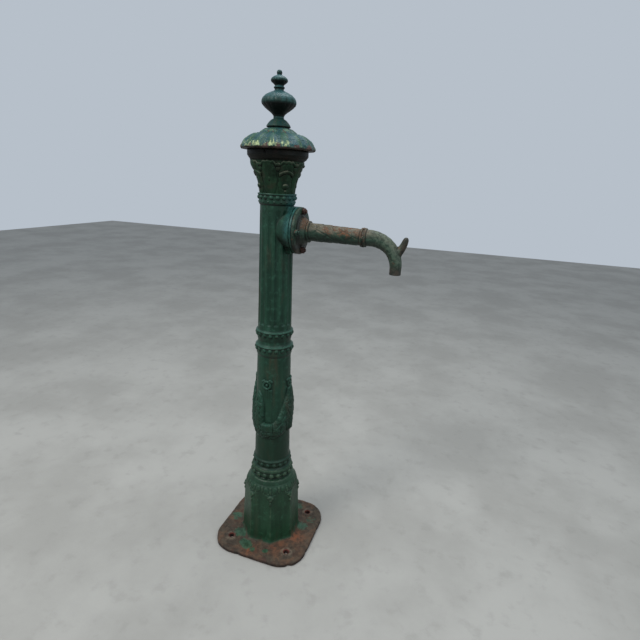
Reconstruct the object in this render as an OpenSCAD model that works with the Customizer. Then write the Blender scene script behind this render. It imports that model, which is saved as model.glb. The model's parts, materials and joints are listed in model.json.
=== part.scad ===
// Ornamental cast iron hand well pump: a column pump on an octagonal pedestal,
// with a spout at one side and a hand lever that works a lift pump inside.
// Millimetres. +Z is up, +X is the way the spout points, and the origin is the
// centre of the foot plate's underside.

/* [Foot plate and pedestal] */
// Width of the square foot plate
plate_w = 362; // [340:1:380]
// Corner radius of the foot plate
plate_corner_r = 95; // [80:1:110]
// Thickness of the foot plate
plate_t = 15; // [12:1:20]
// Distance between the holding-down holes, both ways
bolt_pitch = 230; // [220:1:236]
// Radius of the holding-down holes
bolt_hole_r = 10; // [8:0.5:12]
// Corner-to-corner radius of the octagonal pedestal at its foot
oct_r_foot = 112; // [110:0.5:114]
// Corner-to-corner radius of the octagonal pedestal at its top
oct_r_top = 105; // [103:0.5:107]

/* [Column] */
// Height of the joint between the pedestal and the lower column
joint_z = 315; // [315:1:315]
// Height of the joint between the two halves of the column
mid_z = 815; // [815:1:815]
// Height of the joint between the column and its capital
capital_z = 1311; // [1311:1:1311]
// Height of the top of the capital, where the cap rests
cap_z = 1441; // [1441:1:1441]
// Inside radius of the column
column_ir = 46; // [44:0.5:47]
// Number of flutes round the upper column
flutes = 14; // [12:1:16]

/* [Spout] */
// Height of the spout's centre line at its flange
spout_z = 1198; // [1190:1:1204]
// Radius of the two spout flanges
flange_r = 75; // [73:0.5:77]
// Radius of the circle on which the spout bolts stand
flange_bolt_r = 62; // [60:0.5:63]
// Distance from the column's axis to the centre of the spout's mouth
mouth_x = 403; // [400:1:406]
// Height of the spout's mouth
mouth_z = 1088; // [1080:1:1096]
// Radius of the bore in the spout's mouth
mouth_bore_r = 13.5; // [12:0.5:14]

/* [Lever and rocker] */
// Distance of the rocker shaft from the column's axis
shaft_x = -50; // [-50:1:-50]
// Height of the rocker shaft
shaft_z = 1395; // [1393:1:1397]
// Radius of the rocker shaft
shaft_r = 11; // [10:0.5:12]
// Angle of the rocker arm above the horizontal at rest
arm_up = 35; // [33:1:36]
// Height of the centre of the lever's ball at rest
ball_z = 697; // [660:1:760]
// Radius of the lever's ball
ball_r = 21; // [17:0.5:25]

/* [Pump works] */
// Radius of the pump rod
rod_r = 7; // [6:0.5:8]
// Inside radius of the pump barrel
barrel_ir = 37.5; // [36:0.5:38]
// Wall thickness of the pump barrel
barrel_t = 5; // [4:0.5:6]
// Radius of the suction pipe, outside
pipe_r = 21.2; // [21.2:0.1:21.2]
// Radial clearance of the running fits
run = 0.05; // [0.02:0.01:0.08]

/* [Hidden] */
$fn = 96;

iron = [0.16, 0.30, 0.23];
rusty = [0.36, 0.26, 0.20];
steel = [0.55, 0.55, 0.56];
brass = [0.72, 0.56, 0.30];
hide = [0.42, 0.28, 0.18];

// The flutes are turned so that a rib, not a flute, meets the spout's branch
flute_turn = 16.1;

// The pin in the crosshead sits where the straight-line law of the rod puts it
pin_z = shaft_z + 33.8;

// ---- helpers -------------------------------------------------------------
module cyl_y(x, z, y0, y1, r) translate([x, y1, z]) rotate([90, 0, 0]) cylinder(h = y1 - y0, r = r);
module cyl_x(x0, x1, y, z, r) translate([x0, y, z]) rotate([0, 90, 0]) cylinder(h = x1 - x0, r = r);
module tube(z0, z1, ro, ri) translate([0, 0, z0]) difference() {
    cylinder(h = z1 - z0, r = ro);
    translate([0, 0, -1]) cylinder(h = z1 - z0 + 2, r = ri);
}
module hexz(x, y, z0, z1, af) translate([x, y, z0]) cylinder(h = z1 - z0, r = af / 2 / cos(30), $fn = 6);
module ring_of(n, r, a0 = 0) for (i = [0:n - 1]) rotate([0, 0, a0 + i * 360 / n]) translate([r, 0, 0]) children();

// A tube of round rings along a path in the XZ plane. Each point of the path is
// [x, z, half depth in the plane, half width across it, direction in degrees].
module sweep_xz(path, sides = 24) {
    n = len(path);
    pts = [for (p = path) for (j = [0:sides - 1]) let (a = j * 360 / sides)
        [p[0] - sin(p[4]) * p[2] * cos(a), p[3] * sin(a), p[1] + cos(p[4]) * p[2] * cos(a)]];
    side = [for (i = [0:n - 2]) for (j = [0:sides - 1]) let (k = (j + 1) % sides)
        [i * sides + j, i * sides + k, (i + 1) * sides + k, (i + 1) * sides + j]];
    polyhedron(concat(pts), concat(side,
        [[for (j = [0:sides - 1]) sides - 1 - j]],
        [[for (j = [0:sides - 1]) (n - 1) * sides + j]]), convexity = 6);
}

// ---- pedestal -------------------------------------------------------------
module plate_2d() {
    a = plate_w / 2;
    c = a - plate_corner_r;
    square([plate_w, 2 * c], center = true);
    square([2 * c, plate_w], center = true);
    for (x = [-c, c]) for (y = [-c, c]) translate([x, y]) circle(r = plate_corner_r);
}
// A tapered octagon: four tapered slabs cut each other, so every flat is a true plane
module tapered_octagon(z0, r0, z1, r1) {
    k = cos(22.5);
    intersection_for(i = [0:3]) rotate([0, 0, 45 * i]) rotate([90, 0, 0])
        translate([0, 0, -150]) linear_extrude(300)
            polygon([[-r0 * k, z0], [r0 * k, z0], [r1 * k, z1], [-r1 * k, z1]]);
}
module pedestal() color(iron) difference() {
    union() {
        linear_extrude(plate_t) plate_2d();
        ring_of(4, bolt_pitch / 2 * sqrt(2), 45) cylinder(h = plate_t + 3, r = 23);
        // the foot of the octagon spreads a little where it meets the plate
        tapered_octagon(plate_t - 5, oct_r_foot + 8, plate_t + 16, oct_r_foot - 0.5);
        // the round bell cuts the octagon's flats in arches
        intersection() {
            tapered_octagon(plate_t - 5, oct_r_foot, 290, oct_r_top - 4);
            rotate_extrude() polygon([[0, 5], [125, 5], [125, 150], [109, 187], [105.3, 200],
                [100.6, 220], [89.5, 255], [80, 280], [76, 286], [0, 286]]);
        }
        // beaded ring and top flange
        rotate_extrude() polygon([[0, 280], [77, 280], [77, 284], [79.1, 289], [79.1, 297],
            [77, 302], [72, 305], [70, joint_z], [0, joint_z]]);
    }
    translate([0, 0, -1]) cylinder(h = 20, r = 70);
    translate([0, 0, 14]) cylinder(h = 187, r = 82);
    rotate_extrude() polygon([[0, 200], [82, 200], [70, 258], [70, 289], [0, 289]]);
    translate([0, 0, 280]) cylinder(h = 40, r = 30);
    translate([0, 0, 303]) cylinder(h = 20, r = 50);
    ring_of(4, bolt_pitch / 2 * sqrt(2), 45) translate([0, 0, -1]) cylinder(h = plate_t + 6, r = bolt_hole_r);
    ring_of(6, 59.5, 30) translate([0, 0, 280]) cylinder(h = 40, r = 5.2);
}
module column_bolts() color(steel) ring_of(6, 59.5, 30) {
    hexz(0, 0, 282.5, 289, 17);
    translate([0, 0, 289]) cylinder(h = 42, r = 5);
}

// ---- foot valve -----------------------------------------------------------
module valve_seat() color(brass) difference() {
    union() {
        tube(303, 313.5, 49.8, 20);
        tube(285, 304, 29.5, 20);
        tube(313, 316, 26, 20);
        for (s = [-1, 1]) translate([-33.5, s * 11.6 - 1.6, 313]) cube([6, 3.2, 10]);
    }
    translate([0, 0, 284]) cylinder(h = 16, r = pipe_r);
    cyl_y(-30.5, 320, -14, 14, 2);
}
module seat_gasket() color(hide) tube(313.5, joint_z, 49.8, 38.5);
module suction_pipe() color(steel) tube(58, 300, pipe_r, 18);
module pipe_socket() color(steel) difference() {
    translate([0, 0, 30]) cylinder(h = 50, r = 27);
    translate([0, 0, 29]) cylinder(h = 30, r = 19.5);
    translate([0, 0, 58]) cylinder(h = 30, r = pipe_r);
}
module foot_valve_flap() color(hide) difference() {
    union() {
        translate([0, 0, 316]) cylinder(h = 3.6, r = 24.5);
        translate([-30.5, -9, 316]) cube([16, 18, 3.6]);
        cyl_y(-30.5, 320, -9, 9, 4);
    }
    cyl_y(-30.5, 320, -10, 10, 2 + run);
}
module flap_weight() color(brass) {
    translate([0, 0, 319.6]) cylinder(h = 7, r = 15);
    translate([0, 0, 326.6]) cylinder(h = 3, r = 5);
}
module flap_pin() color(brass) cyl_y(-30.5, 320, -13.2, 13.2, 2);

// ---- lower column ---------------------------------------------------------
// Two garlands of round fruit hang from the bows at front and back of the spout's
// plane, each down to a ribbon that ties it under the bow at the side
module garlands() for (q = [0, 180]) rotate([0, 0, q]) {
    for (i = [-8:8]) let (t = i / 8) rotate([0, 0, 90 + 84 * t])
        translate([60.5, 0, 473 + 172 * pow(abs(t), 2.4)]) sphere(r = 15 - 3 * abs(t), $fn = 24);
    for (i = [0:5]) translate([60.5, 0, 478 + 30 * i]) sphere(r = 15.5 - 0.7 * i, $fn = 24);
    rotate([0, 0, 90]) translate([58, -14, 490]) cube([7, 28, 160]);
}
module bows() for (q = [0:3]) rotate([0, 0, q * 90]) {
    translate([60.5, 0, 662]) sphere(r = 10, $fn = 24);
    for (s = [-1, 1]) rotate([0, 0, s * 13]) translate([58, 0, 671]) sphere(r = 11.5, $fn = 24);
}
module lower_column() color(iron) difference() {
    union() {
        rotate_extrude() polygon([[0, joint_z], [70, joint_z], [68.5, 322], [69, 328], [71.3, 334], [71.3, 342],
            [69, 348], [66.5, 353], [65, 358], [65, 375], [64, 430], [62, 560], [60.4, 705], [59.4, 755],
            [59.4, 764], [63, 768], [66, 772], [69.4, 779], [69.4, 793], [66, 800], [61, 806], [57.6, 809], [57.6, mid_z], [0, mid_z]]);
        garlands();
        bows();
    }
    translate([0, 0, joint_z - 1]) cylinder(h = 510, r = column_ir);
    translate([0, 0, joint_z - 1]) cylinder(h = 9, r = 50);
    translate([0, 0, mid_z - 30]) cylinder(h = 31, r = 50);
    ring_of(6, 59.5, 30) translate([0, 0, joint_z - 1]) cylinder(h = 20, r = 5);
}
module pump_barrel() color(brass) difference() {
    union() {
        translate([0, 0, joint_z]) cylinder(h = 8, r = 49.8);
        translate([0, 0, joint_z]) cylinder(h = 245, r = barrel_ir + barrel_t);
    }
    translate([0, 0, joint_z - 1]) cylinder(h = 247, r = barrel_ir);
}
module column_nipple() color(steel) tube(mid_z - 30, mid_z + 30, 49.9, 44);

// ---- upper column ---------------------------------------------------------
module upper_column() color(iron) difference() {
    union() {
        rotate_extrude() polygon([[0, mid_z], [57.6, mid_z], [57.6, 822], [61, 826], [65, 831], [67, 836], [67, 846],
            [65, 852], [61, 859], [58.2, 862], [58.2, 866], [58.1, 876], [57.5, 934], [57, 971], [56, 1115], [55, 1269], [55, 1277],
            [59, 1280], [62, 1286], [64.5, 1292], [64.5, 1302], [62, 1308], [58.5, capital_z], [0, capital_z]]);
        // conical branch and flange for the spout
        translate([0, 0, spout_z]) rotate([0, 90, 0]) rotate_extrude()
            polygon([[0, 20], [50, 20], [56, 32], [61, 42], [66, 52], [72, 64], [flange_r - 1, 69.5], [flange_r, 71],
                [flange_r, 78], [flange_r - 1, 79], [0, 79]]);
    }
    // flutes, leaning with the taper of the shaft
    for (i = [0:flutes - 1]) rotate([0, 0, flute_turn + i * 360 / flutes]) translate([66.3, 0, 876])
        rotate([0, -0.3, 0]) cylinder(h = 386, r = 12, $fn = 32);
    translate([0, 0, mid_z - 1]) cylinder(h = 473, r = column_ir - 1);
    translate([0, 0, mid_z - 1]) cylinder(h = 31, r = 50);
    translate([0, 0, mid_z]) cylinder(h = 520, r = 28);
    cyl_x(30, 80, 0, spout_z, 24);
    for (a = [0:3]) translate([0, 0, spout_z]) rotate([90 * a, 0, 0]) translate([54, 0, flange_bolt_r]) rotate([0, 90, 0]) cylinder(h = 30, r = 6);
    ring_of(4, 40, 45) translate([0, 0, 1295]) cylinder(h = 20, r = 4);
    ring_of(3, 31.4, 20) translate([0, 0, 1300]) cylinder(h = 20, r = 2.5);
}

// ---- spout ----------------------------------------------------------------
// Centre line: level, falling slightly, then a quarter turn down to the mouth
bend_r = 85;
bend_c = [mouth_x - bend_r, mouth_z + 21];
spout_path = concat(
    [[112, spout_z - 1, 29, 29, 0], [120, spout_z - 1, 28.7, 28.7, 0], [200, spout_z - 2.6, 27.2, 27.2, -1.2], [275, spout_z - 4.2, 25.6, 25.6, -1.2], [310, spout_z - 4.6, 25.4, 25.4, -1]],
    [for (b = [6:7:90]) [bend_c[0] + bend_r * sin(b), bend_c[1] + bend_r * cos(b), 25.6 - 7.4 * pow(b / 90, 0.8), 25 - 7 * pow(b / 90, 0.8), -b]],
    [[mouth_x, bend_c[1] - 2, 18, 18, -90], [mouth_x, mouth_z, 17.8, 17.8, -90]]);
hook_path = [[392, 1140, 13, 12, 48], [402, 1151, 13, 12, 48], [412, 1163, 11.5, 11, 52], [420, 1176, 9, 9.5, 59], [426, 1189, 7, 8, 66], [430, 1199, 5, 6, 70], [431.5, 1203, 2.5, 3.5, 72]];
module spout() color(iron) difference() {
    union() {
        translate([0, 0, spout_z]) rotate([0, 90, 0]) rotate_extrude()
            polygon([[0, 81], [flange_r - 1, 81], [flange_r, 82], [flange_r, 88.5], [flange_r - 2, 90], [50, 90], [48, 92],
                [44.5, 95], [42, 100], [37.5, 107], [32, 112], [34, 113.5], [34, 119], [32, 120.5], [0, 120.5]]);
        cyl_x(287, 293, 0, spout_z - 4.4, 28.5);
        cyl_x(299, 305, 0, spout_z - 4.6, 28.5);
        sweep_xz(spout_path);
        sweep_xz(hook_path, 16);
    }
    cyl_x(80, 296, 0, spout_z - 3, 20);
    cyl_x(290, bend_c[0] + 3, 0, bend_c[1] + bend_r, mouth_bore_r + 1.5);
    translate([bend_c[0], 0, bend_c[1]]) rotate([90, 0, 0]) rotate_extrude(angle = 90) translate([bend_r, 0]) circle(r = mouth_bore_r);
    translate([mouth_x, 0, mouth_z - 1]) cylinder(h = 22, r = mouth_bore_r);
    for (a = [0:3]) translate([0, 0, spout_z]) rotate([90 * a, 0, 0]) translate([78, 0, flange_bolt_r]) rotate([0, 90, 0]) cylinder(h = 20, r = 6.5);
}
module spout_gasket() color(hide) difference() {
    cyl_x(79, 81, 0, spout_z, flange_r - 2);
    cyl_x(78, 82, 0, spout_z, 26);
    for (a = [0:3]) translate([0, 0, spout_z]) rotate([90 * a, 0, 0]) translate([70, 0, flange_bolt_r]) rotate([0, 90, 0]) cylinder(h = 20, r = 6.5);
}
module spout_bolts() color(rusty) for (a = [0:3]) translate([0, 0, spout_z]) rotate([90 * a, 0, 0]) translate([0, 0, flange_bolt_r]) cyl_x(54, 105, 0, 0, 5.95);
module spout_nuts() color(rusty) for (a = [0:3]) translate([0, 0, spout_z]) rotate([90 * a, 0, 0]) translate([90, 0, flange_bolt_r])
    rotate([0, 90, 0]) difference() {
        cylinder(h = 10, r = 19 / 2 / cos(30), $fn = 6);
        translate([0, 0, -1]) cylinder(h = 12, r = 6);
    }

// ---- rod guide ------------------------------------------------------------
module rod_guide() color(steel) difference() {
    union() {
        translate([0, 0, capital_z]) cylinder(h = 7, r = 34.6);
        translate([0, 0, 1285]) cylinder(h = 33, r = 17);
    }
    translate([0, 0, 1280]) cylinder(h = 50, r = 12);
    ring_of(3, 31.4, 20) translate([0, 0, 1305]) cylinder(h = 20, r = 2.8);
}
module guide_bush() color(brass) difference() {
    union() {
        translate([0, 0, 1283]) cylinder(h = 36, r = 12);
        translate([0, 0, 1318]) cylinder(h = 3, r = 15);
    }
    translate([0, 0, 1280]) cylinder(h = 50, r = rod_r + run);
}
module guide_screws() color(steel) ring_of(3, 31.4, 20) {
    translate([0, 0, 1301]) cylinder(h = 17, r = 2.5);
    translate([0, 0, 1318]) cylinder(h = 3, r = 3.4);
}

// ---- capital --------------------------------------------------------------
module capital_outer() rotate_extrude() polygon([[0, capital_z], [56.6, capital_z], [56.6, 1316], [59.1, 1329], [63, 1347.5],
    [67.5, 1363], [74.5, 1379.5], [81, 1394.5], [83.5, 1406.5], [84.8, 1411], [92.6, 1418.5], [96.5, 1424], [96.5, 1438], [94.5, cap_z], [0, cap_z]]);
module capital() color(iron) difference() {
    union() {
        difference() {
            capital_outer();
            rotate_extrude() polygon([[0, 1321], [48, 1321], [50, 1332], [54.5, 1347.5], [59, 1363], [65.5, 1379.5],
                [72, 1394.5], [75, 1411], [75, 1430], [0, 1430]]);
            translate([0, 0, 1425]) cylinder(h = 20, r = 84);
        }
        // blind bearing boss inside, on the side away from the lever
        intersection() {
            cyl_y(shaft_x, shaft_z, -84, -26, 20);
            capital_outer();
        }
        // bearing boss through the wall on the lever's side
        cyl_y(shaft_x, shaft_z, 26, 84, 22);
        // curled leaf tips
        ring_of(8, 79.5, 22.5) translate([0, 0, 1402]) sphere(r = 8.5, $fn = 24);
    }
    translate([0, 0, capital_z - 1]) cylinder(h = 30, r = 35);
    cyl_y(shaft_x, shaft_z, -50, 90, 15);
    ring_of(4, 40, 45) translate([0, 0, capital_z - 1]) cylinder(h = 15, r = 4.2);
    ring_of(3, 0, -90) translate([0, 0, 1432]) rotate([0, 90, 0]) cylinder(h = 130, r = 4);
}
module capital_bolts() color(steel) ring_of(4, 40, 45) {
    translate([0, 0, 1297]) cylinder(h = 24, r = 4);
    hexz(0, 0, 1321, 1326.5, 13);
}
module near_shaft_bush() color(brass) difference() {
    cyl_y(shaft_x, shaft_z, -50, -24.5, 15);
    cyl_y(shaft_x, shaft_z, -51, -20, shaft_r + run);
}
module far_shaft_bush() color(brass) difference() {
    cyl_y(shaft_x, shaft_z, 24.5, 84.5, 15);
    cyl_y(shaft_x, shaft_z, 20, 90, shaft_r + run);
}

// ---- cap and finial -------------------------------------------------------
module cap() color(iron) difference() {
    rotate_extrude() polygon([[83.7, 1426.5], [83.7, cap_z], [116.5, cap_z], [118, 1443.5], [118, 1447.5], [113.5, 1454.5], [104.7, 1466],
        [92.9, 1475.5], [77.3, 1484], [60.5, 1488], [58.8, 1489], [49.5, 1496], [40.4, 1504.5], [37, 1509], [33.8, 1517],
        [24.6, 1527.5], [17, 1532], [0, 1532], [0, 1506], [20, 1506], [28, 1496], [36, 1486], [56, 1479], [70, 1470], [77.5, 1458], [77.5, 1426.5]]);
    translate([0, 0, 1500]) cylinder(h = 40, r = 6.3);
}
module cap_set_screws() color(rusty) for (a = [-90, 30, 150]) rotate([0, 0, a]) cyl_x(83.8, 92.5, 0, 1432, 3.95);
module finial() color(iron) difference() {
    rotate_extrude() polygon([[0, 1532], [16, 1532], [16.4, 1537.5], [19, 1543], [23.7, 1548.5], [35.8, 1557], [42.7, 1562.5], [51.4, 1571],
        [53.4, 1579], [49.5, 1590], [41, 1598.5], [27, 1605], [18, 1608.5], [13.8, 1613], [14.5, 1616.5], [16.5, 1618], [16.5, 1621], [14, 1623], [13.6, 1626], [14.3, 1629],
        [20, 1632], [24.5, 1635.5], [25.5, 1638.5], [23.5, 1642.5], [16, 1647], [9, 1650.5], [7, 1653], [7.5, 1656], [7.8, 1661], [6.5, 1665], [4, 1667.4], [0, 1668]]);
    translate([0, 0, 1530]) cylinder(h = 36, r = 6);
}
module finial_stud() color(steel) translate([0, 0, 1493]) cylinder(h = 71, r = 6);
module finial_nut() color(steel) difference() {
    hexz(0, 0, 1496, 1506, 19);
    translate([0, 0, 1490]) cylinder(h = 20, r = 6);
}

// ---- rocker shaft, arm and lever ------------------------------------------
module rocker_shaft() color(steel) difference() {
    union() {
        cyl_y(shaft_x, shaft_z, -49.5, 86, shaft_r);
        cyl_y(shaft_x, shaft_z, 85, 112, 9);
        cyl_y(shaft_x, shaft_z, 111, 128, 8);
    }
    translate([shaft_x - 3, 88, shaft_z + 5.5]) cube([6, 20, 10]);
    translate([shaft_x, 0, shaft_z]) rotate([0, -arm_up, 0]) translate([0, 0, -40]) cylinder(h = 80, r = 3);
}
// The arm is a fork: two cheeks with a slot that the crosshead's pin slides in
module arm_2d() difference() {
    union() {
        circle(r = 17);
        translate([64, 0]) circle(r = 14);
        translate([48, -14]) square([16, 28]);
        polygon([[0, -17], [48, -14], [48, 14], [0, 17]]);
    }
    translate([47, 0]) circle(r = 7.4);
    translate([64, 0]) circle(r = 7.4);
    translate([47, -7.4]) square([17, 14.8]);
}
module rocker_arm() color(iron) difference() {
    union() {
        for (y = [-20, 12]) translate([shaft_x, y, shaft_z]) rotate([0, -arm_up, 0]) rotate([90, 0, 0]) translate([0, 0, -8]) linear_extrude(8) arm_2d();
        cyl_y(shaft_x, shaft_z, -22, 22, 17);
    }
    cyl_y(shaft_x, shaft_z, -30, 30, shaft_r);
    translate([shaft_x, 0, shaft_z]) rotate([0, -arm_up, 0]) translate([0, 0, -40]) cylinder(h = 80, r = 3);
}
module arm_pin() color(steel) translate([shaft_x, 0, shaft_z]) rotate([0, -arm_up, 0]) translate([0, 0, -19]) cylinder(h = 38, r = 3);

// The lever hangs beside the column: a tapering bar with a ball at its end
lever_y = 98;
module lever_bar() {
    n = 14;
    m = 20;
    z0 = shaft_z - 14;
    z1 = ball_z + 8;
    pts = [for (i = [0:n]) let (t = i / n, rx = 14 - 5 * pow(t, 0.7), ry = 11 - 2.5 * pow(t, 0.7), x = shaft_x - 14 * sin(180 * t), y = lever_y + 12 * (1 - cos(180 * t)) / 2)
        for (j = [0:m - 1]) let (a = j * 360 / m) [x + rx * cos(a), y + ry * sin(a), z0 + (z1 - z0) * t]];
    polyhedron(pts, concat(
        [for (i = [0:n - 1]) for (j = [0:m - 1]) let (k = (j + 1) % m) [i * m + j, i * m + k, (i + 1) * m + k, (i + 1) * m + j]],
        [[for (j = [0:m - 1]) m - 1 - j]], [[for (j = [0:m - 1]) n * m + j]]), convexity = 4);
}
module lever() color(iron) difference() {
    union() {
        cyl_y(shaft_x, shaft_z, 86, 110, 24);
        lever_bar();
        translate([shaft_x, lever_y + 12, ball_z + 20]) cylinder(h = 6, r = 13);
        translate([shaft_x, lever_y + 12, ball_z]) sphere(r = ball_r);
    }
    cyl_y(shaft_x, shaft_z, 80, 120, 9);
    translate([shaft_x - 3, 80, shaft_z]) cube([6, 40, 12]);
}
module lever_key() color(steel) translate([shaft_x - 3, 88, shaft_z + 5.5]) cube([6, 20, 6.5]);
module lever_washer() color(steel) difference() {
    cyl_y(shaft_x, shaft_z, 110, 113, 15);
    cyl_y(shaft_x, shaft_z, 109, 114, 9);
}
module lever_nut() color(steel) difference() {
    translate([shaft_x, 113, shaft_z]) rotate([-90, 0, 0]) cylinder(h = 12, r = 24 / 2 / cos(30), $fn = 6);
    cyl_y(shaft_x, shaft_z, 112, 130, 8);
}

// ---- rod, crosshead and piston --------------------------------------------
module crosshead() color(steel) difference() {
    union() {
        translate([-13, -10.5, pin_z - 13]) cube([26, 21, 26]);
        translate([0, 0, pin_z - 16]) cylinder(h = 6, r = 11);
    }
    cyl_y(0, pin_z, -15, 15, 6);
    translate([0, 0, pin_z - 20]) cylinder(h = 12, r = rod_r);
}
module crosshead_pin() color(steel) cyl_y(0, pin_z, -24, 24, 6);
module pin_collars() color(steel) for (s = [-1, 1]) difference() {
    cyl_y(0, pin_z, s * 22.25 - 1.25, s * 22.25 + 1.25, 10);
    cyl_y(0, pin_z, -30, 30, 6);
}
module rod_lock_nut() color(steel) difference() {
    hexz(0, 0, pin_z - 25, pin_z - 16, 22);
    translate([0, 0, pin_z - 30]) cylinder(h = 20, r = rod_r);
}
module pump_rod() color(steel) translate([0, 0, 520]) cylinder(h = pin_z - 8 - 520, r = rod_r);
module piston_lock_nut() color(brass) difference() {
    hexz(0, 0, 545, 553, 22);
    translate([0, 0, 540]) cylinder(h = 20, r = rod_r);
}
module piston_body() color(brass) difference() {
    union() {
        translate([0, 0, 460]) cylinder(h = 14, r = 33.4);
        translate([0, 0, 449]) cylinder(h = 12, r = 22);
        ring_of(3, 26.5, 0) translate([-4, -5, 473]) cube([8, 10, 40]);
        translate([0, 0, 512]) cylinder(h = 9, r = 31);
        translate([0, 0, 512]) cylinder(h = 33, r = 13);
    }
    // water way, with a three-armed guide for the valve's stem left across it
    difference() {
        translate([0, 0, 440]) cylinder(h = 40, r = 15);
        translate([0, 0, 449]) cylinder(h = 12, r = 6.5);
        ring_of(3, 0, 60) translate([0, -1.5, 449]) cube([18, 3, 12]);
    }
    translate([0, 0, 440]) cylinder(h = 40, r = 3 + run);
    translate([0, 0, 520]) cylinder(h = 40, r = rod_r);
    ring_of(3, 23, 60) translate([0, 0, 505]) cylinder(h = 20, r = 6);
}
module piston_leather() color(hide) rotate_extrude() polygon([[22, 456], [barrel_ir - run, 456], [barrel_ir - run, 482], [35.5, 482], [33.4, 474], [33.4, 460], [22, 460]]);
module piston_follower() color(brass) tube(449, 456, 32, 22);
module piston_valve() color(brass) {
    translate([0, 0, 474]) cylinder(h = 6, r = 19);
    translate([0, 0, 446]) cylinder(h = 30, r = 3);
    translate([0, 0, 480]) cylinder(h = 5, r = 6);
}

pedestal();
column_bolts();
valve_seat();
seat_gasket();
suction_pipe();
pipe_socket();
foot_valve_flap();
flap_weight();
flap_pin();
lower_column();
pump_barrel();
column_nipple();
upper_column();
spout();
spout_gasket();
spout_bolts();
spout_nuts();
rod_guide();
guide_bush();
guide_screws();
capital();
capital_bolts();
near_shaft_bush();
far_shaft_bush();
cap();
cap_set_screws();
finial();
finial_stud();
finial_nut();
rocker_shaft();
rocker_arm();
arm_pin();
lever();
lever_key();
lever_washer();
lever_nut();
crosshead();
crosshead_pin();
pin_collars();
rod_lock_nut();
pump_rod();
piston_lock_nut();
piston_body();
piston_leather();
piston_follower();
piston_valve();
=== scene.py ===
import json
import math

import bpy
import numpy as np
from mathutils import Matrix, Vector


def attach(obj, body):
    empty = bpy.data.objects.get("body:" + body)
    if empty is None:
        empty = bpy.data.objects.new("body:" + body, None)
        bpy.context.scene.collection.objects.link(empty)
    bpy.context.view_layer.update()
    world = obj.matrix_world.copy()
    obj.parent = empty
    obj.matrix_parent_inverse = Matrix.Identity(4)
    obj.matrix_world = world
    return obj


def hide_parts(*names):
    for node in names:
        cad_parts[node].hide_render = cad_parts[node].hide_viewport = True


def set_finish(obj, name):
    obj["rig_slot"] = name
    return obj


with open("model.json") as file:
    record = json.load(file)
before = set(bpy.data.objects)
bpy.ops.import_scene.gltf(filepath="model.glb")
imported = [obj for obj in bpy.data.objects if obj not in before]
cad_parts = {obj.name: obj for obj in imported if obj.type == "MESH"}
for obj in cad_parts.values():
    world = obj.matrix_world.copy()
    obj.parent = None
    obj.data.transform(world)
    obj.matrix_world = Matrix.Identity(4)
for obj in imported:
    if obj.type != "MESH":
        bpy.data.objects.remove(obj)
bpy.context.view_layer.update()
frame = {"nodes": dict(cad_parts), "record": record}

MM = 0.001
RAD = np.pi / 180.0


# ---------------------------------------------------------------- numbers
def step(a, b, x):
    t = np.clip((np.asarray(x, float) - a) / (b - a), 0.0, 1.0)
    return t * t * (3 - 2 * t)


def wrap(a, period=360.0):
    return (np.asarray(a, float) + period / 2) % period - period / 2


def smax(a, b, k):
    return 0.5 * (a + b + np.sqrt((a - b) ** 2 + k * k))


def smin(a, b, k):
    return 0.5 * (a + b - np.sqrt((a - b) ** 2 + k * k))


_TAB = np.random.default_rng(11).random((32, 32, 32)) * 2 - 1


def noise(P, cell, octaves=1):
    """Smooth value noise of points in millimetres, from -1 to 1."""
    out = np.zeros(P.shape[:-1])
    amp, total = 1.0, 0.0
    for o in range(octaves):
        q = P / (cell / 2 ** o) + 17.3 * o + 500.0
        i = np.floor(q).astype(np.int64)
        f = q - i
        f = f * f * (3 - 2 * f)
        i0, i1 = i % 32, (i + 1) % 32
        acc = 0
        for cx in (0, 1):
            wx = f[..., 0] if cx else 1 - f[..., 0]
            ix = i1[..., 0] if cx else i0[..., 0]
            for cy in (0, 1):
                wy = f[..., 1] if cy else 1 - f[..., 1]
                iy = i1[..., 1] if cy else i0[..., 1]
                for cz in (0, 1):
                    wz = f[..., 2] if cz else 1 - f[..., 2]
                    iz = i1[..., 2] if cz else i0[..., 2]
                    acc = acc + wx * wy * wz * _TAB[ix, iy, iz]
        out += amp * acc
        total += amp
        amp *= 0.5
    return out / total


def profile(points, sigma=0.7):
    """A smooth radius for each height, from points of (height, radius)."""
    pts = sorted(points)
    z = np.array([p[0] for p in pts], float)
    r = np.array([p[1] for p in pts], float)
    fine = np.arange(z[0] - 6, z[-1] + 6, 0.2)
    val = np.interp(fine, z, r)
    if sigma > 0:
        n = int(4 * sigma / 0.2)
        k = np.exp(-0.5 * (np.arange(-n, n + 1) * 0.2 / sigma) ** 2)
        k /= k.sum()
        val = np.convolve(np.pad(val, n, mode="edge"), k, mode="valid")
    return lambda q: np.interp(q, fine, val)


def steps(*spans):
    """Heights from spans of (start, end, spacing), with no height twice."""
    out = []
    for a, b, d in spans:
        n = max(1, int(round(abs(b - a) / d)))
        out += [a + (b - a) * i / n for i in range(n + 1)]
    keep = [out[0]]
    for v in out[1:]:
        if abs(v - keep[-1]) > 1e-6:
            keep.append(v)
    return np.array(keep)


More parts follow.
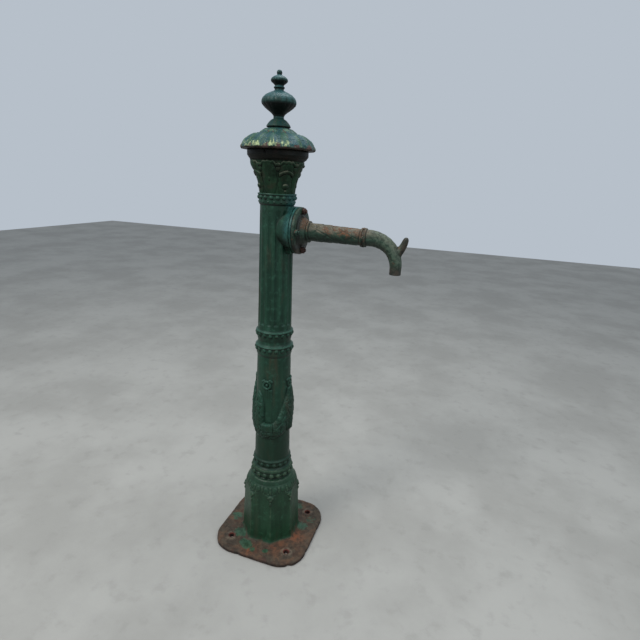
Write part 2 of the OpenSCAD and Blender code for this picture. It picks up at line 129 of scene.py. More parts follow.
# ---------------------------------------------------------------- meshes
def make_mesh(name, V, quads=None, tris=None):
    me = bpy.data.meshes.new(name)
    V = np.asarray(V, float).reshape(-1, 3)
    quads = np.zeros((0, 4), int) if quads is None else np.asarray(quads, int).reshape(-1, 4)
    tris = np.zeros((0, 3), int) if tris is None else np.asarray(tris, int).reshape(-1, 3)
    loops = np.concatenate([quads.ravel(), tris.ravel()]).astype(np.int32)
    starts = np.concatenate([np.arange(len(quads)) * 4, 4 * len(quads) + np.arange(len(tris)) * 3]).astype(np.int32)
    me.vertices.add(len(V))
    me.vertices.foreach_set("co", (V * MM).astype(np.float32).ravel())
    me.loops.add(len(loops))
    me.loops.foreach_set("vertex_index", loops)
    me.polygons.add(len(starts))
    me.polygons.foreach_set("loop_start", starts)
    me.polygons.foreach_set("use_smooth", np.ones(len(starts), bool))
    me.update(calc_edges=True)
    me.validate()
    obj = bpy.data.objects.new(name, me)
    bpy.context.scene.collection.objects.link(obj)
    return obj


def grid(P, loop=False, pole0=None, pole1=None):
    """Vertices and faces of rows of rings. Rings run anticlockwise about the way the rows go."""
    nr, nt = P.shape[:2]
    V = P.reshape(-1, 3)
    i = np.arange(nr if loop else nr - 1)[:, None]
    j = np.arange(nt)[None, :]
    a = i * nt + j
    b = i * nt + (j + 1) % nt
    c = ((i + 1) % nr) * nt + (j + 1) % nt
    d = ((i + 1) % nr) * nt + j
    quads = np.stack([a, b, c, d], -1).reshape(-1, 4)
    tris = []
    jj = np.arange(nt)
    if pole0 is not None:
        V = np.vstack([V, np.asarray(pole0, float)[None]])
        tris.append(np.stack([(jj + 1) % nt, jj, np.full(nt, len(V) - 1)], -1))
    if pole1 is not None:
        V = np.vstack([V, np.asarray(pole1, float)[None]])
        base = (nr - 1) * nt
        tris.append(np.stack([base + jj, base + (jj + 1) % nt, np.full(nt, len(V) - 1)], -1))
    return V, quads, (np.concatenate(tris) if tris else None)


def grid_object(name, P, **kw):
    V, q, t = grid(P, **kw)
    return make_mesh(name, V, q, t)


def ring_rows(th, rows):
    """Rings about the Z axis. Each row is (radius, height); either may be an array over the angles."""
    c, s = np.cos(th * RAD), np.sin(th * RAD)
    P = np.zeros((len(rows), len(th), 3))
    for k, (r, z) in enumerate(rows):
        P[k, :, 0] = r * c
        P[k, :, 1] = r * s
        P[k, :, 2] = z
    return P


def lathe_x(x_r, y, z, n=48, shape=None):
    """Rings about an axis along X through (y, z), from (x, radius) rows."""
    a = np.arange(n) * 2 * np.pi / n
    P = np.zeros((len(x_r), n, 3))
    for k, (x, r) in enumerate(x_r):
        rr = r if shape is None else np.minimum(r, shape(a))
        P[k, :, 0] = x
        P[k, :, 1] = y - rr * np.sin(a)
        P[k, :, 2] = z + rr * np.cos(a)
    return P


def turn_y(P, x, z):
    """Rows made about X at the origin, turned so that X becomes +Y through (x, z)."""
    Q = np.empty_like(P)
    Q[..., 1] = P[..., 0]
    Q[..., 0] = x - P[..., 1]
    Q[..., 2] = z + P[..., 2]
    return Q


def hex_r(af, round_=0.35):
    """The outline of a hexagon of that width across its flats."""
    def f(a):
        b = wrap(a / RAD, 60.0) * RAD
        return np.minimum(af / 2 / np.cos(b), af / 2 / math.cos(30 * RAD) - round_)
    return f


def move_points(obj, change):
    me = obj.data
    co = np.zeros(len(me.vertices) * 3, np.float32)
    me.vertices.foreach_get("co", co)
    co = co.reshape(-1, 3).astype(float) / MM
    no = np.zeros(len(me.vertices) * 3, np.float32)
    me.vertices.foreach_get("normal", no)
    co = change(co, no.reshape(-1, 3).astype(float))
    me.vertices.foreach_set("co", (co * MM).astype(np.float32).ravel())
    me.update()


def join_solids(name, objs):
    """One object of several solids cut together into one closed surface."""
    base = objs[0]
    for other in objs[1:]:
        boolean(base, other, "UNION")
    base.name = name
    base.data.name = name
    return base


def boolean(obj, cutter, operation):
    mod = obj.modifiers.new("cut", "BOOLEAN")
    mod.operation = operation
    mod.solver = "EXACT"
    mod.object = cutter
    dg = bpy.context.evaluated_depsgraph_get()
    new = bpy.data.meshes.new_from_object(obj.evaluated_get(dg), depsgraph=dg)
    obj.modifiers.clear()
    old = obj.data
    obj.data = new
    bpy.data.meshes.remove(old)
    data = cutter.data
    bpy.data.objects.remove(cutter)
    bpy.data.meshes.remove(data)


def put_together(name, objs):
    """One object that holds several separate solids."""
    V, Q, T, n = [], [], [], 0
    for o in objs:
        me = o.data
        co = np.zeros(len(me.vertices) * 3, np.float32)
        me.vertices.foreach_get("co", co)
        V.append(co.reshape(-1, 3) / MM)
        me.calc_loop_triangles()
        start = np.zeros(len(me.polygons), np.int32)
        me.polygons.foreach_get("loop_start", start)
        total = np.zeros(len(me.polygons), np.int32)
        me.polygons.foreach_get("loop_total", total)
        idx = np.zeros(len(me.loops), np.int32)
        me.loops.foreach_get("vertex_index", idx)
        for k, store in ((4, Q), (3, T)):
            s = start[total == k]
            if len(s):
                store.append(idx[s[:, None] + np.arange(k)] + n)
        n += len(me.vertices)
    out = make_mesh(name, np.vstack(V), np.vstack(Q) if Q else None, np.vstack(T) if T else None)
    for o in objs:
        data = o.data
        bpy.data.objects.remove(o)
        bpy.data.meshes.remove(data)
    return out


def finish_mesh(obj, sharp=40.0, rough=0.0, cell=9.0):
    """Casting unevenness, sharp edges, and how far each point stands out of its surroundings."""
    me = obj.data
    if rough > 0:
        move_points(obj, lambda P, N: P + N * (rough * noise(P, cell, 3))[:, None])
    n = len(me.vertices)
    co = np.zeros(n * 3, np.float32)
    me.vertices.foreach_get("co", co)
    co = co.reshape(-1, 3).astype(float) / MM
    no = np.zeros(n * 3, np.float32)
    me.vertices.foreach_get("normal", no)
    no = no.reshape(-1, 3).astype(float)
    e = np.zeros(len(me.edges) * 2, np.int32)
    me.edges.foreach_get("vertices", e)
    e = e.reshape(-1, 2)
    w = 1.0 / np.maximum(np.linalg.norm(co[e[:, 0]] - co[e[:, 1]], axis=1), 0.15)
    wsum = np.bincount(e[:, 0], w, n) + np.bincount(e[:, 1], w, n)
    wsum[wsum == 0] = 1
    s = co.copy()
    for _ in range(7):
        t = np.empty_like(s)
        for k in range(3):
            t[:, k] = (np.bincount(e[:, 0], w * s[e[:, 1], k], n) + np.bincount(e[:, 1], w * s[e[:, 0], k], n)) / wsum
        s = 0.3 * s + 0.7 * t
    stand = np.clip(((co - s) * no).sum(1) / 0.9, -1, 1)
    at = me.attributes.get("stand") or me.attributes.new("stand", "FLOAT", "POINT")
    at.data.foreach_set("value", stand.astype(np.float32))
    if sharp:
        me.set_sharp_from_angle(angle=sharp * RAD)
    return obj


# ---------------------------------------------------------------- materials
def rgb(r, g, b):
    """A colour from its 0-255 sRGB numbers."""
    def lin(v):
        v /= 255.0
        return v / 12.92 if v <= 0.04045 else ((v + 0.055) / 1.055) ** 2.4
    return (lin(r), lin(g), lin(b), 1.0)


class Nodes:
    def __init__(self, name):
        self.mat = bpy.data.materials.new(name)
        self.mat.use_nodes = True
        self.t = self.mat.node_tree
        self.t.nodes.clear()
        self.out = self.t.nodes.new("ShaderNodeOutputMaterial")
        self.bsdf = self.t.nodes.new("ShaderNodeBsdfPrincipled")
        self.t.links.new(self.bsdf.outputs[0], self.out.inputs[0])
        tc = self.t.nodes.new("ShaderNodeTexCoord")
        self.obj = tc.outputs["Object"]
        self.nrm = tc.outputs["Normal"]
        at = self.t.nodes.new("ShaderNodeAttribute")
        at.attribute_name = "stand"
        self.stand = at.outputs["Fac"]

    def put(self, socket, value):
        if isinstance(value, bpy.types.NodeSocket):
            self.t.links.new(value, socket)
        else:
            socket.default_value = value

    def map(self, vec, scale=(1, 1, 1), loc=(0, 0, 0)):
        n = self.t.nodes.new("ShaderNodeMapping")
        self.put(n.inputs["Vector"], vec)
        n.inputs["Scale"].default_value = scale
        n.inputs["Location"].default_value = loc
        return n.outputs[0]

    def noise(self, scale, detail=4, rough=0.55, vec=None, distort=0.0):
        n = self.t.nodes.new("ShaderNodeTexNoise")
        self.put(n.inputs["Vector"], self.obj if vec is None else vec)
        n.inputs["Scale"].default_value = scale
        n.inputs["Detail"].default_value = detail
        n.inputs["Roughness"].default_value = rough
        n.inputs["Distortion"].default_value = distort
        return n.outputs["Fac"]

    def cells(self, scale, vec=None):
        n = self.t.nodes.new("ShaderNodeTexVoronoi")
        self.put(n.inputs["Vector"], self.obj if vec is None else vec)
        n.inputs["Scale"].default_value = scale
        return n.outputs["Distance"]

    def span(self, v, a, b, lo=0.0, hi=1.0):
        n = self.t.nodes.new("ShaderNodeMapRange")
        n.interpolation_type = "SMOOTHSTEP"
        self.put(n.inputs["Value"], v)
        n.inputs["From Min"].default_value = a
        n.inputs["From Max"].default_value = b
        n.inputs["To Min"].default_value = lo
        n.inputs["To Max"].default_value = hi
        return n.outputs[0]

    def math(self, op, a, b=0.0, c=None, clamp=False):
        n = self.t.nodes.new("ShaderNodeMath")
        n.operation = op
        n.use_clamp = clamp
        self.put(n.inputs[0], a)
        self.put(n.inputs[1], b)
        if c is not None:
            self.put(n.inputs[2], c)
        return n.outputs[0]

    def mix(self, f, a, b, blend="MIX"):
        n = self.t.nodes.new("ShaderNodeMix")
        n.data_type = "RGBA"
        n.blend_type = blend
        n.clamp_factor = True
        self.put(n.inputs["Factor"], f)
        self.put([s for s in n.inputs if s.name == "A" and s.type == "RGBA"][0], a)
        self.put([s for s in n.inputs if s.name == "B" and s.type == "RGBA"][0], b)
        return [s for s in n.outputs if s.type == "RGBA"][0]

    def up(self):
        """How far the surface looks up, from -1 to 1."""
        n = self.t.nodes.new("ShaderNodeSeparateXYZ")
        self.t.links.new(self.nrm, n.inputs[0])
        return n.outputs["Z"]

    def height(self):
        n = self.t.nodes.new("ShaderNodeSeparateXYZ")
        self.t.links.new(self.obj, n.inputs[0])
        return n.outputs["Z"]

    def axis(self, which):
        n = self.t.nodes.new("ShaderNodeSeparateXYZ")
        self.t.links.new(self.obj, n.inputs[0])
        return n.outputs[which]

    def near(self, point, r0, r1, flat=True):
        """One near a point (metres), falling to nothing between two distances."""
        v = self.map(self.obj, scale=(1, 1, 0 if flat else 1))
        n = self.t.nodes.new("ShaderNodeVectorMath")
        n.operation = "DISTANCE"
        self.t.links.new(v, n.inputs[0])
        n.inputs[1].default_value = (point[0], point[1], 0 if flat else point[2])
        return self.span(n.outputs["Value"], r1, r0)

    def streaks(self, scale, detail=4, rough=0.6, run=2.5, shift=0.0):
        """Noise drawn out down the slope of a dome that stands on the Z axis."""
        n = self.t.nodes.new("ShaderNodeVectorMath")
        n.operation = "NORMALIZE"
        self.t.links.new(self.map(self.obj, scale=(1, 1, 0)), n.inputs[0])
        a = self.t.nodes.new("ShaderNodeVectorMath")
        a.operation = "ADD"
        self.t.links.new(n.outputs["Vector"], a.inputs[0])
        self.t.links.new(self.map(self.obj, scale=(0.6, 0.6, run), loc=(shift, shift, 0)), a.inputs[1])
        return self.noise(scale, detail, rough, a.outputs["Vector"], 0.15)

    def bump(self, h, strength, distance):
        n = self.t.nodes.new("ShaderNodeBump")
        n.inputs["Strength"].default_value = strength
        n.inputs["Distance"].default_value = distance
        self.put(n.inputs["Height"], h)
        self.t.links.new(n.outputs[0], self.bsdf.inputs["Normal"])

    def finish(self, color, roughness, metallic=0.0, specular=0.5):
        self.put(self.bsdf.inputs["Base Color"], color)
        self.put(self.bsdf.inputs["Roughness"], roughness)
        self.put(self.bsdf.inputs["Metallic"], metallic)
        self.bsdf.inputs["Specular IOR Level"].default_value = specular
        return self.mat


RUST_DARK = rgb(62, 42, 34)
RUST_MID = rgb(104, 68, 48)
RUST_RED = rgb(128, 76, 54)
PRIMER = rgb(184, 196, 140)


def painted_iron(name, deep, main, light, faded_and_sheen, rust=0.30, wear=0.5, fade=0.5, brown=0.3, worn=None,
                 shine=(0.36, 0.52), painted_shade_colour=rgb(9, 13, 11), under=0.75, grit=1.0, seed=0.0, hollow=0.55, foot=0.0, cone=0.0, gloss=0.32):
    """Old green paint on cast iron: mottled, with painted shade underneath and in its hollows, worn and with a painted
    highlight on its edges, paled by the sun with a painted sky sheen where it looks up, with rust coming through.
    """
    m = Nodes(name)
    vec = m.map(m.obj, loc=(seed, seed * 0.7, -seed))
    big = m.noise(9.0, 4, 0.55, vec)
    mid = m.noise(55.0, 5, 0.62, vec, 0.4)
    fine = m.noise(330.0, 4, 0.6, vec)
    runs = m.noise(70.0, 3, 0.5, m.map(m.obj, scale=(1, 1, 0.06), loc=(seed, 0, 0)))
    col = m.mix(m.span(m.math("ADD", m.math("MULTIPLY", big, 0.55), m.math("MULTIPLY", runs, 0.45)), 0.38, 0.62), deep, main)
    col = m.mix(m.span(mid, 0.50, 0.72, 0.0, 0.7), col, light)
    # brown stain in runs and patches
    stain = m.noise(24.0, 5, 0.6, m.map(m.obj, scale=(1, 1, 0.22), loc=(seed + 4, 2, 0)), 0.3)
    col = m.mix(m.span(stain, 0.50, 0.70, 0.0, brown), col, rgb(66, 56, 42))
    # paint paled by the sun where it looks up, with a painted sky sheen on the up-facing surfaces
    look = m.span(m.up(), 0.10, 0.85)
    bleach_and_sky_sheen = m.math("MULTIPLY", look, m.span(mid, 0.30, 0.62, 0.45, 1.0))
    col = m.mix(m.math("MULTIPLY", bleach_and_sky_sheen, fade), col, faded_and_sheen)
    # painted shade where it looks down
    col = m.mix(m.math("MULTIPLY", m.span(m.up(), -0.02, -0.5), under), col, painted_shade_colour)
    # painted shade in the hollows
    low = m.span(m.stand, -0.04, -0.40)
    col = m.mix(m.math("MULTIPLY", low, hollow), col, painted_shade_colour)
    if cone:
        # painted highlight: the upper half of the cone turns a lighter teal
        k = m.math("MULTIPLY", m.span(m.axis("X"), 0.040, 0.060), m.span(m.height(), 1.150, 1.215))
        col = m.mix(m.math("MULTIPLY", k, cone), col, m.mix(m.span(mid, 0.4, 0.65), rgb(24, 64, 62), rgb(40, 88, 88)))
    if foot:
        # painted shade: darker towards the foot of the column
        col = m.mix(m.span(m.height(), 0.66, 0.38, 0.0, foot), col, rgb(12, 32, 18))
    # paint worn thin on what stands out, with a painted highlight on it
    rub_and_sheen = m.math("MULTIPLY", m.span(m.stand, 0.12, 0.60), m.span(mid, 0.38, 0.60))
    col = m.mix(m.math("MULTIPLY", rub_and_sheen, wear), col, worn or m.mix(m.span(fine, 0.4, 0.6), light, faded_and_sheen))
    # rust coming through
    r_in = m.math("ADD", m.math("MULTIPLY", m.noise(22.0, 6, 0.68, vec, 0.6), 0.72), m.math("MULTIPLY", fine, 0.28))
    r_in = m.math("ADD", r_in, m.math("MULTIPLY", m.span(m.stand, 0.10, 0.7), 0.04))
    level = 0.80 - 0.42 * rust
    r_mask = m.span(r_in, level, level + 0.05)
    halo = m.span(r_in, level - 0.06, level + 0.005)
    col = m.mix(m.math("MULTIPLY", halo, 0.30), col, m.mix(0.5, light, RUST_MID))
    rust_c = m.mix(m.span(m.noise(120.0, 4, 0.6, vec), 0.36, 0.66), RUST_DARK, RUST_MID)
    rust_c = m.mix(m.span(m.noise(40.0, 3, 0.5, vec), 0.56, 0.70), rust_c, RUST_RED)
    col = m.mix(r_mask, col, rust_c)
    rough = m.span(mid, 0.3, 0.7, shine[0], shine[1])
    rough = m.math("MAXIMUM", rough, m.math("MULTIPLY", r_mask, 0.86))
    rough = m.math("MAXIMUM", rough, m.math("MULTIPLY", low, 0.62))
    h = m.math("ADD", m.math("MULTIPLY", fine, 0.5 * grit), m.math("MULTIPLY", mid, 0.9))
    h = m.math("SUBTRACT", h, m.math("MULTIPLY", r_mask, 0.35))
    h = m.math("ADD", h, m.math("MULTIPLY", m.math("MULTIPLY", r_mask, m.noise(700.0, 3, 0.6, vec)), 0.9))
    m.bump(h, 0.55, 0.0008)
    return m.finish(col, rough, 0.0, gloss)


def rusty_iron(name, dark, mid_c, red, paint=None, paint_cover=0.0, bright=rgb(140, 120, 100), seed=0.0):
    """Corroded iron, with patches of green paint still on it."""
    m = Nodes(name)
    vec = m.map(m.obj, loc=(seed, -seed, seed * 0.5))
    big = m.noise(13.0, 5, 0.6, vec, 0.5)
    mid = m.noise(60.0, 5, 0.65, vec, 0.6)
    fine = m.noise(420.0, 4, 0.65, vec)
    col = m.mix(m.span(mid, 0.36, 0.64), dark, mid_c)
    col = m.mix(m.span(big, 0.52, 0.66, 0.0, 0.8), col, red)
    col = m.mix(m.math("MULTIPLY", m.span(fine, 0.52, 0.72), m.span(m.up(), 0.2, 0.9, 0.1, 0.7)), col, bright)
    rough = m.span(fine, 0.3, 0.7, 0.68, 0.9)
    h = m.math("ADD", m.math("MULTIPLY", fine, 0.9), m.math("MULTIPLY", mid, 1.4))
    if paint is not None:
        p_in = m.math("ADD", m.math("MULTIPLY", m.noise(19.0, 5, 0.6, vec, 0.8), 0.75), m.math("MULTIPLY", fine, 0.25))
        level = 0.64 - 0.30 * paint_cover
        p = m.span(p_in, level, level + 0.03)
        col = m.mix(p, col, m.mix(m.span(mid, 0.4, 0.65), paint[0], paint[1]))
        rough = m.math("SUBTRACT", rough, m.math("MULTIPLY", p, 0.28))
        h = m.math("ADD", h, m.math("MULTIPLY", p, 0.8))
    # painted shade in the hollows
    col = m.mix(m.math("MULTIPLY", m.span(m.stand, -0.05, -0.5), 0.7), col, rgb(24, 18, 15))
    m.bump(h, 0.7, 0.001)
    return m.finish(col, rough)


def plain_metal(name, base, dirt, rough=(0.28, 0.5), metallic=1.0, cover=0.35, scale=60.0):
    """Machined metal gone dull, with darker tarnish in patches and fine turning marks."""
    m = Nodes(name)
    mid = m.noise(scale, 5, 0.6)
    marks = m.noise(900.0, 2, 0.5, m.map(m.obj, scale=(0.15, 0.15, 1.0)))
    mask = m.span(mid, 0.62 - 0.3 * cover, 0.74 - 0.3 * cover)
    col = m.mix(mask, base, dirt)
    m.bump(m.math("ADD", m.math("MULTIPLY", marks, 0.4), m.math("MULTIPLY", mid, 0.6)), 0.3, 0.0004)
    r = m.math("ADD", m.span(marks, 0.3, 0.7, rough[0], rough[1]), m.math("MULTIPLY", mask, 0.2))
    return m.finish(col, r, m.math("SUBTRACT", metallic, m.math("MULTIPLY", mask, 0.6 * metallic)))


def hide_material(name):
    """Oiled pump leather, with a close grain."""
    m = Nodes(name)
    grain = m.cells(900.0)
    mid = m.noise(80.0, 4)
    col = m.mix(m.span(mid, 0.35, 0.65), rgb(72, 46, 30), rgb(112, 74, 48))
    m.bump(m.math("ADD", grain, m.math("MULTIPLY", mid, 0.5)), 0.5, 0.0005)
    return m.finish(col, m.span(grain, 0.0, 0.6, 0.5, 0.75))


GREEN_DEEP, GREEN_MAIN, GREEN_LIGHT = rgb(17, 46, 33), rgb(28, 62, 46), rgb(42, 80, 64)
MAT = {
    "column": painted_iron("green_column", GREEN_DEEP, GREEN_MAIN, GREEN_LIGHT, rgb(58, 98, 84), rust=0.08, wear=0.25, fade=0.50, brown=0.45, foot=0.58, hollow=0.34, cone=0.75, gloss=0.25),
    "finial": painted_iron("green_finial", rgb(16, 44, 38), rgb(28, 62, 58), rgb(42, 80, 78), rgb(54, 90, 95), rust=0.05, wear=0.08, gloss=0.2, fade=0.72, brown=0.2, under=1.0, seed=5.2),
    "lever": painted_iron("green_lever", GREEN_DEEP, GREEN_MAIN, GREEN_LIGHT, rgb(74, 120, 104), rust=0.25, wear=0.7, fade=0.45, seed=9.3),
    "bare": rusty_iron("bare_iron", rgb(52, 44, 40), rgb(82, 64, 54), rgb(104, 70, 50), seed=2.0),
    "rusty": rusty_iron("rusted_fasteners", rgb(48, 32, 27), rgb(86, 56, 42), rgb(110, 66, 44), seed=4.0),
    "steel": plain_metal("dull_steel", rgb(150, 148, 144), rgb(84, 66, 54)),
    "brass": plain_metal("old_brass", rgb(176, 140, 80), rgb(92, 74, 46), cover=0.45),
    "leather": hide_material("pump_leather"),
}
# near-black iron: the gaskets are dark joints, and the set screws carry the painted shade of the holes they sit in
MAT["grimy"] = rusty_iron("dark_joints_and_hole_shade_iron", rgb(12, 12, 10), rgb(24, 20, 17), rgb(34, 24, 19), bright=rgb(44, 38, 32), seed=7.0)
SLOT_MAT = {"column_iron": "column", "capital_iron": "capital", "cap_iron": "finial", "spout_iron": "spout", "lever_iron": "lever",
            "bare_iron": "bare", "steel": "steel", "rusty_steel": "rusty", "brass": "brass", "leather": "leather"}


def place(obj, body, slot, mat, *nodes):
    obj.data.materials.clear()
    obj.data.materials.append(mat)
    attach(obj, body)
    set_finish(obj, slot)
    if nodes:
        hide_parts(*nodes)
    return obj


# ---------------------------------------------------------------- relief
class Relief:
    """Heights over a plain turned surface, as arc length and height in millimetres."""

    def __init__(self, th, z, radius, period=360.0, floor=0.0):
        self.th, self.z, self.R, self.period = th, z, radius, period
        self.h = np.full((len(z), len(th)), floor)

    def window(self, a0, z0, reach):
        da = wrap(self.th - a0, self.period)
        cols = np.nonzero(np.abs(da) * RAD * self.R < reach)[0]
        rows = np.nonzero(np.abs(self.z - z0) < reach)[0]
        if len(cols) == 0 or len(rows) == 0:
            return None
        x = (da[cols] * RAD * self.R)[None, :]
        y = (self.z[rows] - z0)[:, None]
        return rows, cols, x, y

    def take(self, rows, cols, h):
        block = self.h[np.ix_(rows, cols)]
        self.h[np.ix_(rows, cols)] = np.maximum(block, h)

    def ball(self, a0, z0, rx, rz, hh, base=0.0):
        w = self.window(a0, z0, max(rx, rz) + 1)
        if w is None:
            return
        rows, cols, x, y = w
        q = 1 - (x / rx) ** 2 - (y / rz) ** 2
        self.take(rows, cols, np.where(q > 0, base + hh * np.sqrt(np.clip(q, 0, 1)), -1e3))

    def leaf(self, a0, z0, angle, length, width, hh, base=0.0, vein=0.9, tilt=0.0):
        """A pointed leaf. angle turns its tip from +arc towards +height."""
        w = self.window(a0, z0, length)
        if w is None:
            return
        rows, cols, x, y = w
        c, s = math.cos(angle * RAD), math.sin(angle * RAD)
        u = (x * c + y * s) / (length / 2)
        v = -x * s + y * c
        t = np.clip((u + 1) / 2, 0, 1)
        half = width / 2 * (np.sin(np.pi * t ** 0.75) ** 0.8 + 1e-6)
        q = 1 - (v / np.maximum(half, 1e-3)) ** 2
        inside = (np.abs(u) < 1) & (q > 0)
        body = base + hh * np.sqrt(np.clip(q, 0, 1)) * (0.75 + 0.25 * np.sin(np.pi * t)) + tilt * u
        body = body - vein * np.exp(-(v / 0.9) ** 2) - 0.35 * vein * np.cos(2 * np.pi * (u * length / 2 - np.abs(v) * 0.9) / 5.0) * (np.abs(v) < half)
        self.take(rows, cols, np.where(inside, body, -1e3))

    def flower(self, a0, z0, r, hh, base=0.0, petals=6, turn=0.0):
        w = self.window(a0, z0, r * 1.3)
        if w is None:
            return
        rows, cols, x, y = w
        d = np.hypot(x, y)
        phi = np.arctan2(y, x) + turn
        edge = r * (0.80 + 0.20 * np.abs(np.cos(phi * petals / 2)))
        body = base + hh * np.sqrt(np.clip(1 - (d / edge) ** 2, 0, 1)) * (0.78 + 0.22 * np.abs(np.cos(phi * petals / 2)))
        body = body - 1.3 * np.exp(-((d - 0.36 * r) / 1.1) ** 2)
        body = np.maximum(body, base + hh * 1.05 * np.sqrt(np.clip(1 - (d / (0.32 * r)) ** 2, 0, 1)))
        self.take(rows, cols, np.where(d < edge, body, -1e3))

    def band(self, pts, width, hh, base=0.0, grooves=0, end=3.0):
        """A ribbon through points of (angle, height), with a rounded section."""
        p = np.array([(wrap(a - pts[0][0]) * RAD * self.R, z) for a, z in pts], float)
        seg = np.hypot(*np.diff(p, axis=0).T)
        n = max(2, int(seg.sum() / 1.0))
        t = np.concatenate([[0], np.cumsum(seg)])
        q = np.linspace(0, t[-1], n)
        cx, cz = np.interp(q, t, p[:, 0]), np.interp(q, t, p[:, 1])
        lo, hi = cz.min() - width, cz.max() + width
        rows = np.nonzero((self.z > lo) & (self.z < hi))[0]
        da = wrap(self.th - pts[0][0], self.period)
        x = da * RAD * self.R
        cols = np.nonzero((x > cx.min() - width) & (x < cx.max() + width))[0]
        if len(rows) == 0 or len(cols) == 0:
            return
        X, Y = x[cols][None, :], self.z[rows][:, None]
        best = np.full((len(rows), len(cols)), 1e9)
        side = np.zeros_like(best)
        for k in range(n):
            d = (X - cx[k]) ** 2 + (Y - cz[k]) ** 2
            m = d < best
            best = np.where(m, d, best)
        d = np.sqrt(best)
        f = np.clip(1 - (d / (width / 2)) ** 2, 0, 1)
        body = base + hh * f ** 0.35
        if grooves:
            body = body - 0.8 * np.abs(np.sin(np.pi * grooves * d / width)) * (d < width / 2)
        self.take(rows, cols, np.where(d < width / 2, body, -1e3))


# ---------------------------------------------------------------- pedestal
def octagon(th, r):
    return r * math.cos(22.5 * RAD) / np.cos(wrap(th, 45.0) * RAD)


def plate_outline(th):
    """The worn outline of the foot plate, as a radius for each angle."""
    a, cr = 181.0, 95.0
    c = a - cr
    t = th * RAD
    ux, uy = np.abs(np.cos(t)), np.abs(np.sin(t))
    flat_x = a / np.maximum(ux, 1e-6)
    flat_y = a / np.maximum(uy, 1e-6)
    r = np.minimum(flat_x, flat_y)
    # the corner's arc about (c, c)
    b = c * (ux + uy)
    disc = np.clip(b * b - 2 * c * c + cr * cr, 0, None)
    arc = b + np.sqrt(disc)
    x, y = r * ux, r * uy
    r = np.where((x > c) & (y > c), np.minimum(r, arc), r)
    P = np.stack([r * np.cos(t), r * np.sin(t), 0 * t], -1)
    r = r + 1.3 * noise(P, 46, 3) + 0.8 * noise(P + 300, 14, 2)
    for a0, w, d in ((-48.5, 2.2, 5.0), (-43.0, 3.2, -1.5), (-24, 2.0, 2.4), (-107, 2.5, 2.2), (-133, 3.0, -1.5), (63, 2.4, 2.5), (152, 3.2, 2.0), (14, 2.0, 1.8)):
        r = r - d * np.exp(-(wrap(th - a0) / w) ** 2)
    return np.minimum(r, 181.0 / np.maximum(np.maximum(ux, uy), 1e-6) + 0.6)


